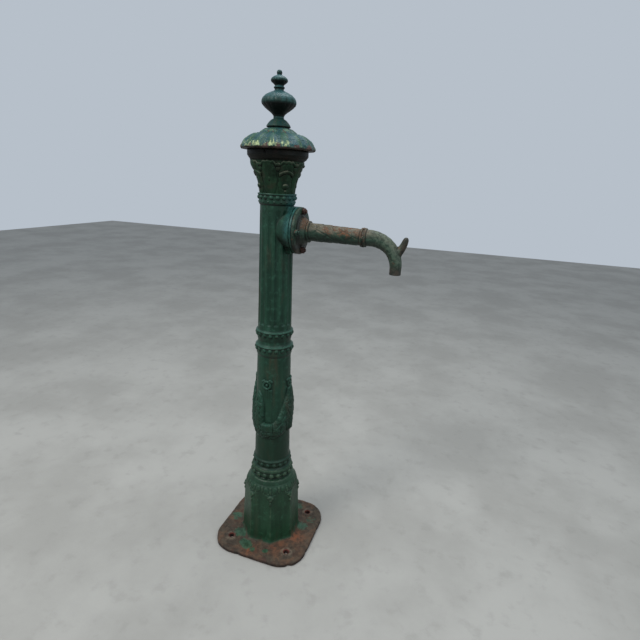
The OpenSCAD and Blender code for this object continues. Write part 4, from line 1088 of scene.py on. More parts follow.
def make_spout():
    nt = 144
    phi = np.arange(nt) * 2 * np.pi / nt
    deg = phi / RAD
    length = 318 - 81 + BEND_R * np.pi / 2 + 21.0
    s_arr = steps((39.5, 200, 1.6), (200, 230, 1.2), (230, length - 3, 2.0), (length - 3, length, 1.0))
    x_of = s_arr + 81
    rad = np.interp(s_arr, [39.5, 119, 194, 237, 237 + 35, 237 + 80, 237 + 133.5, length - 6, length - 2, length], [28.7, 27.2, 25.6, 25.2, 23.6, 21.0, 18.2, 17.9, 18.4, 17.6])
    rows = []

    def add(s, r):
        c, n, t = spout_frame(s)
        b = np.array([0, -1.0, 0])
        rr = r + 0 * phi
        rows.append(c[None] + rr[:, None] * (np.cos(phi)[:, None] * n[None] + np.sin(phi)[:, None] * b[None]))

    for s, r in ((0, 26), (0, 50), (0, 73.6), (0.6, 74.7), (1.4, 75), (6.6, 75), (7.8, 74.2), (8.6, 72.4), (9, 70), (9, 62), (9, 51.5), (9.6, 49.6), (11, 48.2), (13.5, 45.4), (17, 43.0), (21, 40.6), (25, 38.0), (28.5, 35.0), (30.5, 32.4),
                 (31.2, 31.8), (32.0, 32.8), (33, 34.2), (36.5, 34.4), (37.6, 33.4), (38.4, 30.6), (39.0, 29.2)):
        add(s, r)
    # leaves winding round the pipe
    for s, r in zip(s_arr, rad):
        f = step(40, 56, s) * (1 - step(190, 203, s))
        turn = deg - 0.95 * s
        a = wrap(turn, 90.0)
        # overlapping pointed leaves along four slow turns
        u = (s / 33.0 + (np.floor((turn + 45) / 90.0) % 2) * 0.5) % 1.0
        half = 44.0 * np.sin(np.pi * np.clip(u, 0, 1) ** 0.7) ** 0.7 + 1
        leaf = np.clip(1 - (a / half) ** 2, 0, 1) ** 0.5 * (0.4 + 0.8 * u)
        h = 1.5 * leaf - 0.5 - 0.8 * np.exp(-(a / 5.0) ** 2)
        f2 = step(228, 246, s) * (1 - step(310, 345, s))
        h2 = 0.55 * np.cos(3 * (deg - 1.1 * s) * RAD) + 0.25 * np.cos(2 * np.pi * s / 17.0)
        ring = 0.0
        for c0, hh in ((209.0, 4.4), (221.5, 4.4)):
            ring = ring + hh * np.clip(1 - ((s - c0) / 3.4) ** 2, 0, 1) ** 0.6 * (0.86 + 0.14 * np.abs(np.cos(8 * phi)))
        # a small flower between the rings on each side
        fl = 0.0
        for a0 in (90.0, 270.0, 0.0, 180.0):
            dx, dy = s - 215.0, wrap(deg - a0) * RAD * 26
            d = np.hypot(dx, dy)
            fl = np.maximum(fl, 5.4 * np.sqrt(np.clip(1 - (d / (7.4 + 1.2 * np.cos(5 * np.arctan2(dy, dx)))) ** 2, 0, 1)) - 1.4 * np.exp(-((d - 3.1) / 1.0) ** 2) * (d < 8))
        add(s, r + f * h + f2 * h2 + np.maximum(ring, fl))
    for r in (16.0, 14.6, 13.8, 13.5):
        add(length + (0.3 if r < 17 and r > 14 else 0), r)
    for s in steps((length - 4, 237, 9)):
        add(s, 13.5 if s > 240 else 14.5)
    for s, r in ((226, 15), (215, 15), (214.8, 20), (120, 20), (30, 20), (2, 20), (0, 22)):
        add(s, r)
    obj = grid_object("spout_casting", np.array(rows), loop=True)
    # hook that a bucket's handle hangs on
    path = [(388, 1136, 11, 10, 44), (394, 1142, 13, 11.5, 45), (401, 1149.5, 14.4, 12.2, 46), (407, 1156.5, 14.2, 12, 49), (412.3, 1163.5, 13.0, 11.4, 53), (416.6, 1170.5, 11.8, 10.6, 58), (420.0, 1177.5, 10.9, 10.0, 63), (422.9, 1184.5, 10.2, 9.6, 68),
            (425.0, 1191.0, 9.6, 9.2, 73), (426.4, 1196.5, 8.8, 8.6, 77), (427.3, 1200.6, 7.2, 7.2, 80), (427.9, 1203.4, 4.8, 5.0, 81), (428.2, 1204.7, 2.4, 2.6, 81)]
    m = 40
    a = np.arange(m) * 2 * np.pi / m
    P = np.zeros((len(path), m, 3))
    for k, (x, zz, ha, wb, d) in enumerate(path):
        tx, tz = math.cos(d * RAD), math.sin(d * RAD)
        nx, nz = -tz, tx
        P[k, :, 0] = x + nx * ha * np.cos(a)
        P[k, :, 1] = -wb * np.sin(a)
        P[k, :, 2] = zz + nz * ha * np.cos(a)
    V, q, t = grid(P, pole0=(387.6, 0, 1135.6), pole1=(428.3, 0, 1205.1))
    hook = make_mesh("hook", V, q, t)
    boolean(obj, hook, "UNION")
    obj.name = obj.data.name = "spout_casting"

    # soften the hook's root
    me = obj.data
    n = len(me.vertices)
    co = np.zeros(n * 3, np.float32)
    me.vertices.foreach_get("co", co)
    co = co.reshape(-1, 3).astype(float) / MM
    near = (np.exp(-(((co[:, 0] - 406) / 15) ** 2 + ((co[:, 2] - 1150) / 17) ** 2)) * (np.hypot(co[:, 0] - BEND_C[0], co[:, 2] - BEND_C[1]) > BEND_R + 3))
    e = np.zeros(len(me.edges) * 2, np.int32)
    me.edges.foreach_get("vertices", e)
    e = e.reshape(-1, 2)
    cnt = np.bincount(e.ravel(), minlength=n)
    for _ in range(14):
        t = np.stack([(np.bincount(e[:, 0], co[e[:, 1], k], n) + np.bincount(e[:, 1], co[e[:, 0], k], n)) / np.maximum(cnt, 1) for k in range(3)], -1)
        co = co + (t - co) * (0.75 * near)[:, None]
    me.vertices.foreach_set("co", (co * MM).astype(np.float32).ravel())
    me.update()
    finish_mesh(obj, 44, 0.25, 8)
    return obj


def nut_rows(x0, x1, af, bore):
    """A chamfered hexagon nut about X at the origin, as a closed loop of rows."""
    corner = af / 2 / math.cos(30 * RAD)
    rows = [(x0, bore), (x0, corner * 0.84), (x0 + 0.9, corner * 0.93), (x0 + 2.0, corner + 1), (x1 - 2.0, corner + 1), (x1 - 0.9, corner * 0.93), (x1, corner * 0.84), (x1, bore + 0.8), (x1 - 0.8, bore), (x0 + 1, bore)]
    return rows


def make_spout_fasteners():
    nuts, studs = [], []
    for k in range(4):
        a = 90 * k * RAD
        y, z = -62 * math.sin(a), 1198 + 62 * math.cos(a)
        turn = (0.3, 1.1, 0.75, 0.5)[k]
        n = 72
        rows = nut_rows(90.0, 100.0, 19.0, 6.0)
        f = hex_r(19.0, 0.5)
        P = lathe_x(rows, y, z, n, None)
        ang = np.arange(n) * 2 * np.pi / n
        lim = f(ang + turn)
        for i, (x, r) in enumerate(rows):
            rr = np.minimum(r, lim) if r > 6.9 else r + 0 * ang
            P[i, :, 1] = y - rr * np.sin(ang)
            P[i, :, 2] = z + rr * np.cos(ang)
        V, q, t = grid(P, loop=True)
        nuts.append(make_mesh("nut", V, q, t))
        rows = [(54, 5.95), (80, 5.95), (98, 5.95)]
        x = 98.6
        while x < 103.4:
            rows += [(x, 5.3), (x + 0.55, 5.95), (x + 0.8, 5.95)]
            x += 1.35
        rows += [(103.8, 5.8), (104.6, 5.0), (105, 3.6)]
        P = lathe_x(rows, y, z, 32)
        V, q, t = grid(P, pole0=(54, y, z), pole1=(105, y, z))
        studs.append(make_mesh("stud", V, q, t))
    nuts = put_together("spout_nuts_rusted", nuts)
    studs = put_together("spout_studs_rusted", studs)
    finish_mesh(nuts, 32, 0.3, 5)
    finish_mesh(studs, 50, 0.15, 4)
    return nuts, studs


# ---------------------------------------------------------------- lever
def make_lever():
    hub = turn_y(lathe_x([(86, 9), (86, 20.5), (86.8, 22.6), (88.6, 24), (98, 24.3), (107.4, 24), (109.2, 22.6), (110, 20.5), (110, 9), (98, 9)], 0, 0, 96), -50, 1395)
    hub_o = grid_object("hub", hub, loop=True)
    n, m = 90, 48
    z0, z1 = 1381.0, 722.0
    a = np.arange(m) * 2 * np.pi / m
    P = np.zeros((n + 1, m, 3))
    for i in range(n + 1):
        t = i / n
        rx, ry = 14 - 5 * t ** 0.7, 11 - 2.5 * t ** 0.7
        x = -50 - 14 * math.sin(math.pi * t)
        y = 98 + 12 * (1 - math.cos(math.pi * t)) / 2
        # a bar with rounded corners: forged flat sides up high, round near the grip
        p = 2 + 1.6 * (1 - t)
        ca, sa = np.cos(a), np.sin(a)
        k = (np.abs(ca) ** p + np.abs(sa) ** p) ** (-1 / p)
        P[i, :, 0] = x + rx * k * ca
        P[i, :, 1] = y - ry * k * sa
        P[i, :, 2] = z0 + (z1 - z0) * t
    # the bar goes down, so its rings run clockwise from above
    V, q, t = grid(P, pole0=(-50, 98, z0), pole1=(-50, 110, z1))
    bar = make_mesh("bar", V, q, t)
    grip = [(0.5, 1667)]
    rows = []
    prof_ = [(725, 8), (724.5, 10.5), (723.6, 12.2), (722, 13), (718.5, 13), (717, 12), (716.3, 10.6)]
    for ang in np.linspace(28, 176, 40):
        prof_.append((697 + 21 * math.cos(ang * RAD), 21 * math.sin(ang * RAD)))
    th = np.arange(64) * 360.0 / 64
    prof_ = [p_ for p_ in prof_]
    c, s = np.cos(-th * RAD), np.sin(-th * RAD)
    Q = np.zeros((len(prof_), 64, 3))
    for k, (zz, rr) in enumerate(prof_):
        Q[k, :, 0] = -50 + rr * c
        Q[k, :, 1] = 110 + rr * s
        Q[k, :, 2] = zz
    V, q, t = grid(Q, pole0=(-50, 110, 725.4), pole1=(-50, 110, 676))
    ball = make_mesh("ball", V, q, t)
    boolean(hub_o, bar, "UNION")
    boolean(hub_o, ball, "UNION")
    # keep the shaft's bore clear of the bar
    P = turn_y(lathe_x([(80, 9.0), (98, 9.0), (116, 9.0)], 0, 0, 96), -50, 1395)
    V, q, t = grid(P, pole0=(-50, 80, 1395), pole1=(-50, 116, 1395))
    boolean(hub_o, make_mesh("bore", V, q, t), "DIFFERENCE")
    hub_o.name = hub_o.data.name = "lever_forging"
    finish_mesh(hub_o, 40, 0.18, 14)
    return hub_o


def make_lever_nut():
    rows = nut_rows(113.0, 125.0, 24.0, 8.0)
    n = 72
    P = lathe_x(rows, 0, 0, n, None)
    ang = np.arange(n) * 2 * np.pi / n
    lim = hex_r(24.0, 0.6)(ang + 0.2)
    for i, (x, r) in enumerate(rows):
        rr = np.minimum(r, lim) if r > 9.5 else r + 0 * ang
        P[i, :, 1] = -rr * np.sin(ang)
        P[i, :, 2] = rr * np.cos(ang)
    nut = grid_object("lever_nut_worn", turn_y(P, -50, 1395), loop=True)
    finish_mesh(nut, 32, 0.2, 5)
    rows = [(110.0, 9.0), (110.0, 14.2), (110.5, 15.0), (112.4, 15.0), (113.0, 14.3), (113.0, 9.0), (111.5, 9.0)]
    washer = grid_object("lever_washer_worn", turn_y(lathe_x(rows, 0, 0, 64), -50, 1395), loop=True)
    finish_mesh(washer, 32, 0.12, 6)
    return nut, washer


# ---------------------------------------------------------------- build
pedestal = make_pedestal()
lower = make_lower_column()
upper = make_upper_column()
finish_mesh(upper, 40, 0.2, 11)
capital = make_capital()
cap = make_cap()
finial = make_finial()
spout = make_spout()
nuts, studs = make_spout_fasteners()
lever = make_lever()
lever_nut, lever_washer = make_lever_nut()


# the foot plate is rusty with green patches, and the casting over it is painted
def foot_material():
    m = Nodes("rusty_foot_and_green_pedestal")
    z = m.height()
    mid = m.noise(55.0, 5, 0.62, None, 0.4)
    fine = m.noise(400.0, 4, 0.6)
    big = m.noise(9.0, 4, 0.55)
    runs = m.noise(60.0, 3, 0.5, m.map(m.obj, scale=(1, 1, 0.08)))
    paint = m.mix(m.span(m.math("ADD", m.math("MULTIPLY", big, 0.5), m.math("MULTIPLY", runs, 0.5)), 0.38, 0.62), rgb(17, 46, 28), rgb(27, 62, 40))
    paint = m.mix(m.span(mid, 0.5, 0.72, 0, 0.7), paint, rgb(40, 80, 58))
    stain = m.noise(20.0, 5, 0.6, m.map(m.obj, scale=(1, 1, 0.25), loc=(4, 2, 0)), 0.3)
    paint = m.mix(m.span(stain, 0.50, 0.70, 0.0, 0.24), paint, rgb(62, 58, 44))
    # paint paled where it looks up, with a painted sky sheen
    paint = m.mix(m.math("MULTIPLY", m.span(m.up(), 0.1, 0.85), 0.22), paint, rgb(40, 78, 58))
    paint = m.mix(m.math("MULTIPLY", m.span(z, 0.200, 0.230), 0.30), paint, rgb(16, 42, 28))
    # painted shade where it looks down
    paint = m.mix(m.math("MULTIPLY", m.span(m.up(), -0.02, -0.5), 0.75), paint, rgb(9, 13, 11))
    # painted shade in the hollows
    low = m.span(m.stand, -0.04, -0.42)
    paint = m.mix(m.math("MULTIPLY", low, 0.38), paint, rgb(9, 18, 12))
    # paint worn thin on what stands out, with a painted highlight on the beads
    rub_and_sheen = m.math("MULTIPLY", m.span(m.stand, 0.12, 0.6), m.span(mid, 0.38, 0.6))
    paint = m.mix(m.math("MULTIPLY", rub_and_sheen, 0.5), paint, rgb(84, 100, 78))
    rust = m.mix(m.span(mid, 0.34, 0.64), rgb(47, 40, 32), rgb(73, 63, 51))
    rust = m.mix(m.span(m.noise(17.0, 5, 0.6, None, 0.6), 0.46, 0.66, 0, 0.75), rust, m.mix(m.span(mid, 0.36, 0.64), rgb(72, 52, 39), rgb(94, 68, 49)))
    rust = m.mix(m.span(m.noise(31.0, 5, 0.6, m.map(m.obj, loc=(3, 1, 0)), 0.6), 0.55, 0.68, 0, 0.7), rust, rgb(64, 42, 34))
    rust = m.mix(m.math("MULTIPLY", m.span(fine, 0.52, 0.70), 0.4), rust, rgb(114, 102, 88))
    warm = m.math("MAXIMUM", m.near((0.118, -0.030), 0.0, 0.055), m.near((-0.02, -0.155), 0.0, 0.05))
    warm = m.math("MAXIMUM", warm, m.math("MULTIPLY", m.near((0.075, -0.105), 0.0, 0.06), 0.7))
    rust = m.mix(m.math("MULTIPLY", warm, m.span(mid, 0.42, 0.6, 0.2, 0.75)), rust, rgb(118, 68, 42))
    # the ring about each bolt hole, and its wall, with painted shade darkening the wall towards the bottom
    v = m.t.nodes.new("ShaderNodeVectorMath")
    v.operation = "ABSOLUTE"
    m.t.links.new(m.map(m.obj, scale=(1, 1, 0)), v.inputs[0])
    d = m.t.nodes.new("ShaderNodeVectorMath")
    d.operation = "DISTANCE"
    m.t.links.new(v.outputs[0], d.inputs[0])
    d.inputs[1].default_value = (0.115, 0.115, 0)
    hole = m.span(d.outputs["Value"], 0.0135, 0.0105)
    ring = m.math("MULTIPLY", m.span(d.outputs["Value"], 0.0115, 0.0145), m.span(d.outputs["Value"], 0.026, 0.019))
    rust = m.mix(m.math("MULTIPLY", ring, m.span(mid, 0.4, 0.6, 0.05, 0.35)), rust, rgb(124, 110, 94))
    rust = m.mix(hole, rust, m.mix(m.span(z, 0.002, 0.014), rgb(34, 16, 13), rgb(96, 46, 38)))
    # paint left on the plate in patches
    blob = None
    for x, y, r, k in ((-0.092, -0.090, 0.034, 0.8), (-0.144, -0.008, 0.045, 0.6), (-0.038, -0.135, 0.026, 1.0), (-0.058, -0.130, 0.020, 0.9), (-0.009, -0.150, 0.016, 0.8), (0.040, -0.139, 0.013, 0.95),
                       (0.117, 0.034, 0.034, 0.75), (0.146, 0.077, 0.030, 0.6), (-0.02, 0.15, 0.05, 0.8), (-0.13, 0.10, 0.03, 0.7), (0.07, 0.14, 0.03, 0.7)):
        b = m.math("MULTIPLY", m.near((x, y), 0.0, r * 1.6), k)
        blob = b if blob is None else m.math("MAXIMUM", blob, b)
    patch = m.math("ADD", m.math("MULTIPLY", m.noise(38.0, 6, 0.66, m.map(m.obj, loc=(0.9, 0.35, 0)), 0.8), 0.75), m.math("MULTIPLY", fine, 0.25))
    plate_paint = m.span(m.math("ADD", m.math("MULTIPLY", blob, 0.62), patch), 0.74, 0.86)
    on_plate = m.span(z, 0.026, 0.017)
    rim = m.math("MULTIPLY", m.span(z, 0.045, 0.018), m.span(m.noise(45.0, 4, 0.6), 0.50, 0.62))
    speck = m.span(m.math("ADD", m.math("MULTIPLY", m.noise(26.0, 6, 0.68, m.map(m.obj, loc=(5, 2, 1)), 0.6), 0.72), m.math("MULTIPLY", fine, 0.28)), 0.68, 0.73)
    bare = m.math("MAXIMUM", m.math("MULTIPLY", rim, m.math("SUBTRACT", 1.0, on_plate)), speck)
    cover = m.mix(on_plate, (1, 1, 1, 1), plate_paint)
    cov = m.math("MULTIPLY", cover, m.math("SUBTRACT", 1.0, bare))
    plate_green = m.mix(m.span(mid, 0.36, 0.62), rgb(26, 60, 38), rgb(46, 86, 64))
    col = m.mix(cov, rust, m.mix(on_plate, paint, m.mix(0.18, plate_green, rust)))
    edge = m.math("MULTIPLY", m.span(z, 0.0146, 0.0115), m.span(m.up(), 0.6, 0.1))
    col = m.mix(m.math("MULTIPLY", edge, 0.8), col, m.mix(m.span(mid, 0.4, 0.6), rgb(38, 30, 26), rgb(62, 46, 38)))
    rough = m.math("SUBTRACT", m.span(fine, 0.3, 0.7, 0.74, 0.9), m.math("MULTIPLY", cov, 0.38))
    h = m.math("ADD", m.math("MULTIPLY", fine, 0.5), m.math("MULTIPLY", mid, 0.9))
    h = m.math("ADD", h, m.math("MULTIPLY", cov, 0.4))
    h = m.math("ADD", h, m.math("MULTIPLY", m.math("MULTIPLY", m.math("SUBTRACT", 1.0, cov), m.noise(160.0, 4, 0.7)), 1.8))
    m.bump(h, 0.6, 0.0009)
    return m.finish(col, rough, 0.0, 0.32)


def spout_material():
    """The spout's paint, olive and rusty on top, green below, and dark brown at its ends."""
    m = Nodes("weathered_spout")
    x, z = m.axis("X"), m.height()
    mid = m.noise(70.0, 5, 0.62, None, 0.4)
    fine = m.noise(420.0, 4, 0.6)
    along = m.noise(60.0, 5, 0.6, m.map(m.obj, scale=(0.45, 1.0, 1.0), loc=(3, 1, 0)), 0.5)
    green = m.mix(m.span(along, 0.38, 0.62), rgb(22, 44, 32), rgb(42, 68, 54))
    tan = m.mix(m.span(m.noise(95.0, 5, 0.65, m.map(m.obj, scale=(0.5, 1.0, 1.0)), 0.5), 0.36, 0.66), rgb(60, 57, 43), rgb(94, 87, 69))
    # tan on top; the flange stays green
    t = m.math("MULTIPLY", m.span(m.up(), -0.05, 0.55), m.span(along, 0.28, 0.56, 0.6, 1.0))
    t = m.math("MULTIPLY", t, m.span(x, 0.090, 0.100, 0.15, 1.0))
    col = m.mix(t, green, tan)
    # the bend's top is greener
    bend = m.mix(m.span(m.noise(75.0, 6, 0.68, m.map(m.obj, loc=(6, 2, 4)), 0.8), 0.42, 0.58), rgb(30, 52, 40), rgb(84, 98, 82))
    col = m.mix(m.math("MULTIPLY", m.span(x, 0.30, 0.335), 0.62), col, bend)
    # rust
    r_in = m.math("ADD", m.math("MULTIPLY", m.noise(60.0, 6, 0.66, m.map(m.obj, loc=(1, 4, 0)), 0.7), 0.75), m.math("MULTIPLY", fine, 0.25))
    zone = m.math("MULTIPLY", m.span(x, 0.14, 0.19), m.span(x, 0.31, 0.27))
    zone = m.math("MULTIPLY", zone, m.span(m.up(), -0.25, 0.45))
    hub = m.math("MULTIPLY", m.span(x, 0.0915, 0.096), m.span(x, 0.122, 0.114))
    hub = m.math("MULTIPLY", hub, m.span(z, 1.190, 1.226))
    knot = m.math("MULTIPLY", m.span(x, 0.283, 0.288), m.span(x, 0.310, 0.304))
    r_in = m.math("ADD", r_in, m.math("MULTIPLY", zone, 0.085))
    r_in = m.math("ADD", r_in, m.math("MULTIPLY", hub, 0.16))
    r_in = m.math("ADD", r_in, m.math("MULTIPLY", knot, 0.10))
    rust = m.span(r_in, 0.57, 0.66)
    rust_c = m.mix(m.span(m.noise(130.0, 4, 0.6), 0.36, 0.66), rgb(70, 51, 37), rgb(108, 71, 47))
    rust_c = m.mix(m.math("MAXIMUM", knot, m.math("MULTIPLY", hub, 0.6)), rust_c, rgb(82, 66, 52))
    col = m.mix(rust, col, rust_c)
    # painted shade below and in the hollows; dark brown round the mouth, on the hook and on the lower flange
    col = m.mix(m.math("MULTIPLY", m.span(m.up(), 0.05, -0.55), 0.62), col, rgb(16, 24, 19))
    low_flange = m.math("MULTIPLY", m.span(x, 0.130, 0.105), m.span(z, 1.185, 1.140))
    ends = m.math("MAXIMUM", m.span(z, 1.128, 1.098), m.math("MULTIPLY", m.span(x, 0.404, 0.421), m.span(z, 1.135, 1.160)))
    ends = m.math("MAXIMUM", ends, m.math("MULTIPLY", low_flange, 0.9))
    col = m.mix(m.math("MULTIPLY", ends, 0.82), col, m.mix(m.span(mid, 0.4, 0.62), rgb(28, 24, 20), rgb(60, 48, 40)))
    # painted shade in the hollows
    col = m.mix(m.math("MULTIPLY", m.span(m.stand, -0.04, -0.42), 0.8), col, rgb(14, 16, 12))
    rough = m.math("MAXIMUM", m.span(mid, 0.3, 0.7, 0.46, 0.62), m.math("MULTIPLY", rust, 0.85))
    h = m.math("ADD", m.math("MULTIPLY", fine, 0.6), m.math("MULTIPLY", mid, 1.0))
    h = m.math("ADD", h, m.math("MULTIPLY", m.math("MULTIPLY", rust, m.noise(600.0, 3, 0.6)), 0.9))
    m.bump(h, 0.6, 0.0009)
    return m.finish(col, rough, 0.0, 0.32)


def stud_material():
    """Rusted nuts and studs: those above and below bare, those at the sides under green paint."""
    m = Nodes("spout_fasteners")
    z = m.height()
    mid = m.noise(90.0, 5, 0.65, None, 0.6)
    fine = m.noise(480.0, 4, 0.65)
    col = m.mix(m.span(mid, 0.36, 0.64), rgb(36, 25, 22), rgb(74, 46, 36))
    col = m.mix(m.math("MULTIPLY", m.span(fine, 0.55, 0.72), m.span(m.up(), 0.2, 0.9, 0.1, 0.5)), col, rgb(140, 124, 110))
    # the nuts at the sides under green paint, lighter on their upward faces as a painted highlight
    side = m.math("MULTIPLY", m.span(z, 1.165, 1.175), m.span(z, 1.231, 1.221))
    col = m.mix(m.math("MULTIPLY", side, m.span(mid, 0.66, 0.56)), col, m.mix(m.span(m.up(), 0.0, 0.8), rgb(24, 46, 37), rgb(46, 72, 60)))
    m.bump(m.math("ADD", m.math("MULTIPLY", fine, 0.9), m.math("MULTIPLY", mid, 1.2)), 0.6, 0.0009)
    return m.finish(col, m.span(fine, 0.3, 0.7, 0.66, 0.88), 0.0, 0.35)


def cap_material():
    """The cap's teal paint, flaking to pale primer on its ridges near the rim and to rust at the rim."""
    m = Nodes("weathered_cap")
    z, x = m.height(), m.axis("X")
    mid = m.noise(60.0, 5, 0.62, None, 0.4)
    fine = m.noise(380.0, 4, 0.6)
    big = m.noise(14.0, 4, 0.55, m.map(m.obj, loc=(2.2, 0.4, 0)))
    col = m.mix(m.span(big, 0.4, 0.62), rgb(24, 56, 48), rgb(36, 74, 70))
    # painted sky reflection: the up-facing dome turns a bluer teal along the streaks
    look = m.span(m.up(), 0.10, 0.75)
    runs = m.streaks(9.0, 4, 0.6, 2.0)
    tone = m.mix(m.span(runs, 0.42, 0.58), rgb(40, 70, 56), rgb(37, 72, 80))
    col = m.mix(m.math("MULTIPLY", look, m.span(mid, 0.3, 0.6, 0.55, 1.0)), col, tone)
    col = m.mix(m.span(m.streaks(15.0, 5, 0.65, 3.0, 1.7), 0.52, 0.68, 0.0, 0.5), col, rgb(70, 102, 78))
    # painted shadow under the finial's ledge
    col = m.mix(m.math("MULTIPLY", m.span(z, 1.4995, 1.5075), 0.5), col, rgb(20, 44, 36))
    col = m.mix(m.span(m.noise(120.0, 5, 0.65, m.map(m.obj, loc=(2, 8, 0)), 0.4), 0.56, 0.70, 0.0, 0.7), col, rgb(30, 52, 42))
    # painted highlight on the dome's ridges and painted shade in the furrows between them
    turn = m.math("ARCTAN2", m.axis("Y"), m.axis("X"))
    wave = m.math("COSINE", m.math("ADD", m.math("MULTIPLY", turn, 16.0), 2.304))
    wave = m.math("ADD", wave, m.math("MULTIPLY", m.math("SUBTRACT", mid, 0.5), 2.6))
    dome = m.math("MULTIPLY", m.span(z, 1.444, 1.450), m.span(z, 1.500, 1.488))
    col = m.mix(m.math("MULTIPLY", m.span(wave, 0.15, 0.95), m.math("MULTIPLY", dome, 0.45)), col, rgb(66, 96, 74))
    col = m.mix(m.math("MULTIPLY", m.span(wave, -0.1, -0.9), m.math("MULTIPLY", dome, 0.55)), col, rgb(32, 66, 74))
    pale = m.math("MULTIPLY", m.span(z, 1.490, 1.495), m.span(z, 1.504, 1.499))
    col = m.mix(m.math("MULTIPLY", pale, m.span(mid, 0.46, 0.60, 0.0, 0.6)), col, rgb(104, 130, 104))
    # painted shade in the hollows
    hollow = m.span(m.stand, -0.04, -0.34)
    col = m.mix(m.math("MULTIPLY", hollow, 0.55), col, rgb(34, 60, 56))
    # painted shade where it looks down
    col = m.mix(m.span(m.up(), 0.02, -0.35), col, m.mix(m.span(mid, 0.4, 0.6), rgb(10, 12, 9), rgb(24, 20, 15)))
    # pale primer on the ridges, most towards one side
    side = m.span(x, 0.085, -0.015, 0.25, 1.0)
    w = m.math("MULTIPLY", m.span(z, 1.476, 1.452), side)
    n_f = m.math("ADD", m.math("MULTIPLY", m.noise(105.0, 6, 0.70, m.map(m.obj, scale=(1, 1, 0.5)), 0.5), 0.35), m.math("MULTIPLY", m.noise(300.0, 4, 0.7), 0.2))
    n_f = m.math("ADD", n_f, m.math("MULTIPLY", m.streaks(17.0, 5, 0.68, 3.0, 4.1), 0.45))
    n_f = m.math("ADD", m.math("MULTIPLY", n_f, 1.75), -0.375)
    ridge = m.span(m.stand, -0.02, 0.30)
    flake_in = m.math("ADD", n_f, m.math("MULTIPLY", m.math("MULTIPLY", ridge, m.span(side, 0.25, 1.0, 0.5, 1.0)), 0.045))
    flake_in = m.math("ADD", flake_in, m.math("MULTIPLY", w, 0.045))
    spots = None
    for az, reach, k in ((-100, 0.026, 0.95), (-76, 0.024, 1.0), (-55, 0.026, 1.0), (-118, 0.024, 0.75), (-140, 0.022, 0.5), (-165, 0.022, 0.6), (-33, 0.016, 0.35), (60, 0.022, 0.6), (105, 0.022, 0.5), (150, 0.022, 0.7)):
        b = m.math("MULTIPLY", m.near((0.113 * math.cos(az * RAD), 0.113 * math.sin(az * RAD)), 0.0, reach), k)
        spots = b if spots is None else m.math("MAXIMUM", spots, b)
    flake_in = m.math("ADD", flake_in, m.math("MULTIPLY", m.math("MULTIPLY", spots, m.span(z, 1.472, 1.456)), 0.17))
    flake = m.math("MULTIPLY", m.span(flake_in, 0.60, 0.74), m.span(z, 1.4435, 1.4465))
    flake = m.math("MULTIPLY", flake, m.span(m.up(), -0.05, 0.2))
    flake = m.math("MULTIPLY", flake, m.span(z, 1.482, 1.464, 0.08, 1.0))
    flake = m.math("MULTIPLY", flake, m.span(z, 1.506, 1.500))
    col = m.mix(flake, col, m.mix(m.span(fine, 0.38, 0.62), rgb(112, 130, 88), rgb(188, 198, 152)))
    # rust at the rim
    low = m.span(z, 1.4570, 1.4440)
    rust_in = m.math("ADD", m.noise(58.0, 5, 0.64, m.map(m.obj, loc=(7, 3, 0)), 0.5), m.math("MULTIPLY", low, 0.07))
    marks = None
    for az, reach, k in ((-86, 0.020, 0.8), (-65, 0.022, 1.0), (-37, 0.018, 0.8), (-12, 0.022, 0.7), (10, 0.03, 0.8), (-110, 0.014, 0.6), (80, 0.022, 0.8), (170, 0.022, 0.8)):
        b = m.math("MULTIPLY", m.near((0.116 * math.cos(az * RAD), 0.116 * math.sin(az * RAD)), 0.0, reach), k)
        marks = b if marks is None else m.math("MAXIMUM", marks, b)
    rust_in = m.math("ADD", rust_in, m.math("MULTIPLY", m.math("MULTIPLY", marks, m.span(z, 1.464, 1.450)), 0.15))
    rust = m.span(rust_in, 0.60, 0.67)
    col = m.mix(m.math("MULTIPLY", rust, m.math("SUBTRACT", 1.0, m.math("MULTIPLY", flake, 0.8))), col, m.mix(m.span(fine, 0.4, 0.62), rgb(62, 46, 42), rgb(98, 78, 74)))
    edge = m.math("MULTIPLY", m.span(z, 1.4480, 1.4445), m.span(mid, 0.30, 0.50))
    col = m.mix(m.math("MULTIPLY", edge, 0.8), col, rgb(42, 34, 27))
    rough = m.math("MAXIMUM", m.span(mid, 0.3, 0.7, 0.40, 0.55), m.math("MULTIPLY", m.math("MAXIMUM", rust, flake), 0.8))
    h = m.math("ADD", m.math("MULTIPLY", fine, 0.5), m.math("MULTIPLY", mid, 0.9))
    h = m.math("SUBTRACT", h, m.math("MULTIPLY", flake, 0.4))
    m.bump(h, 0.55, 0.0008)
    return m.finish(col, rough, 0.0, 0.18)


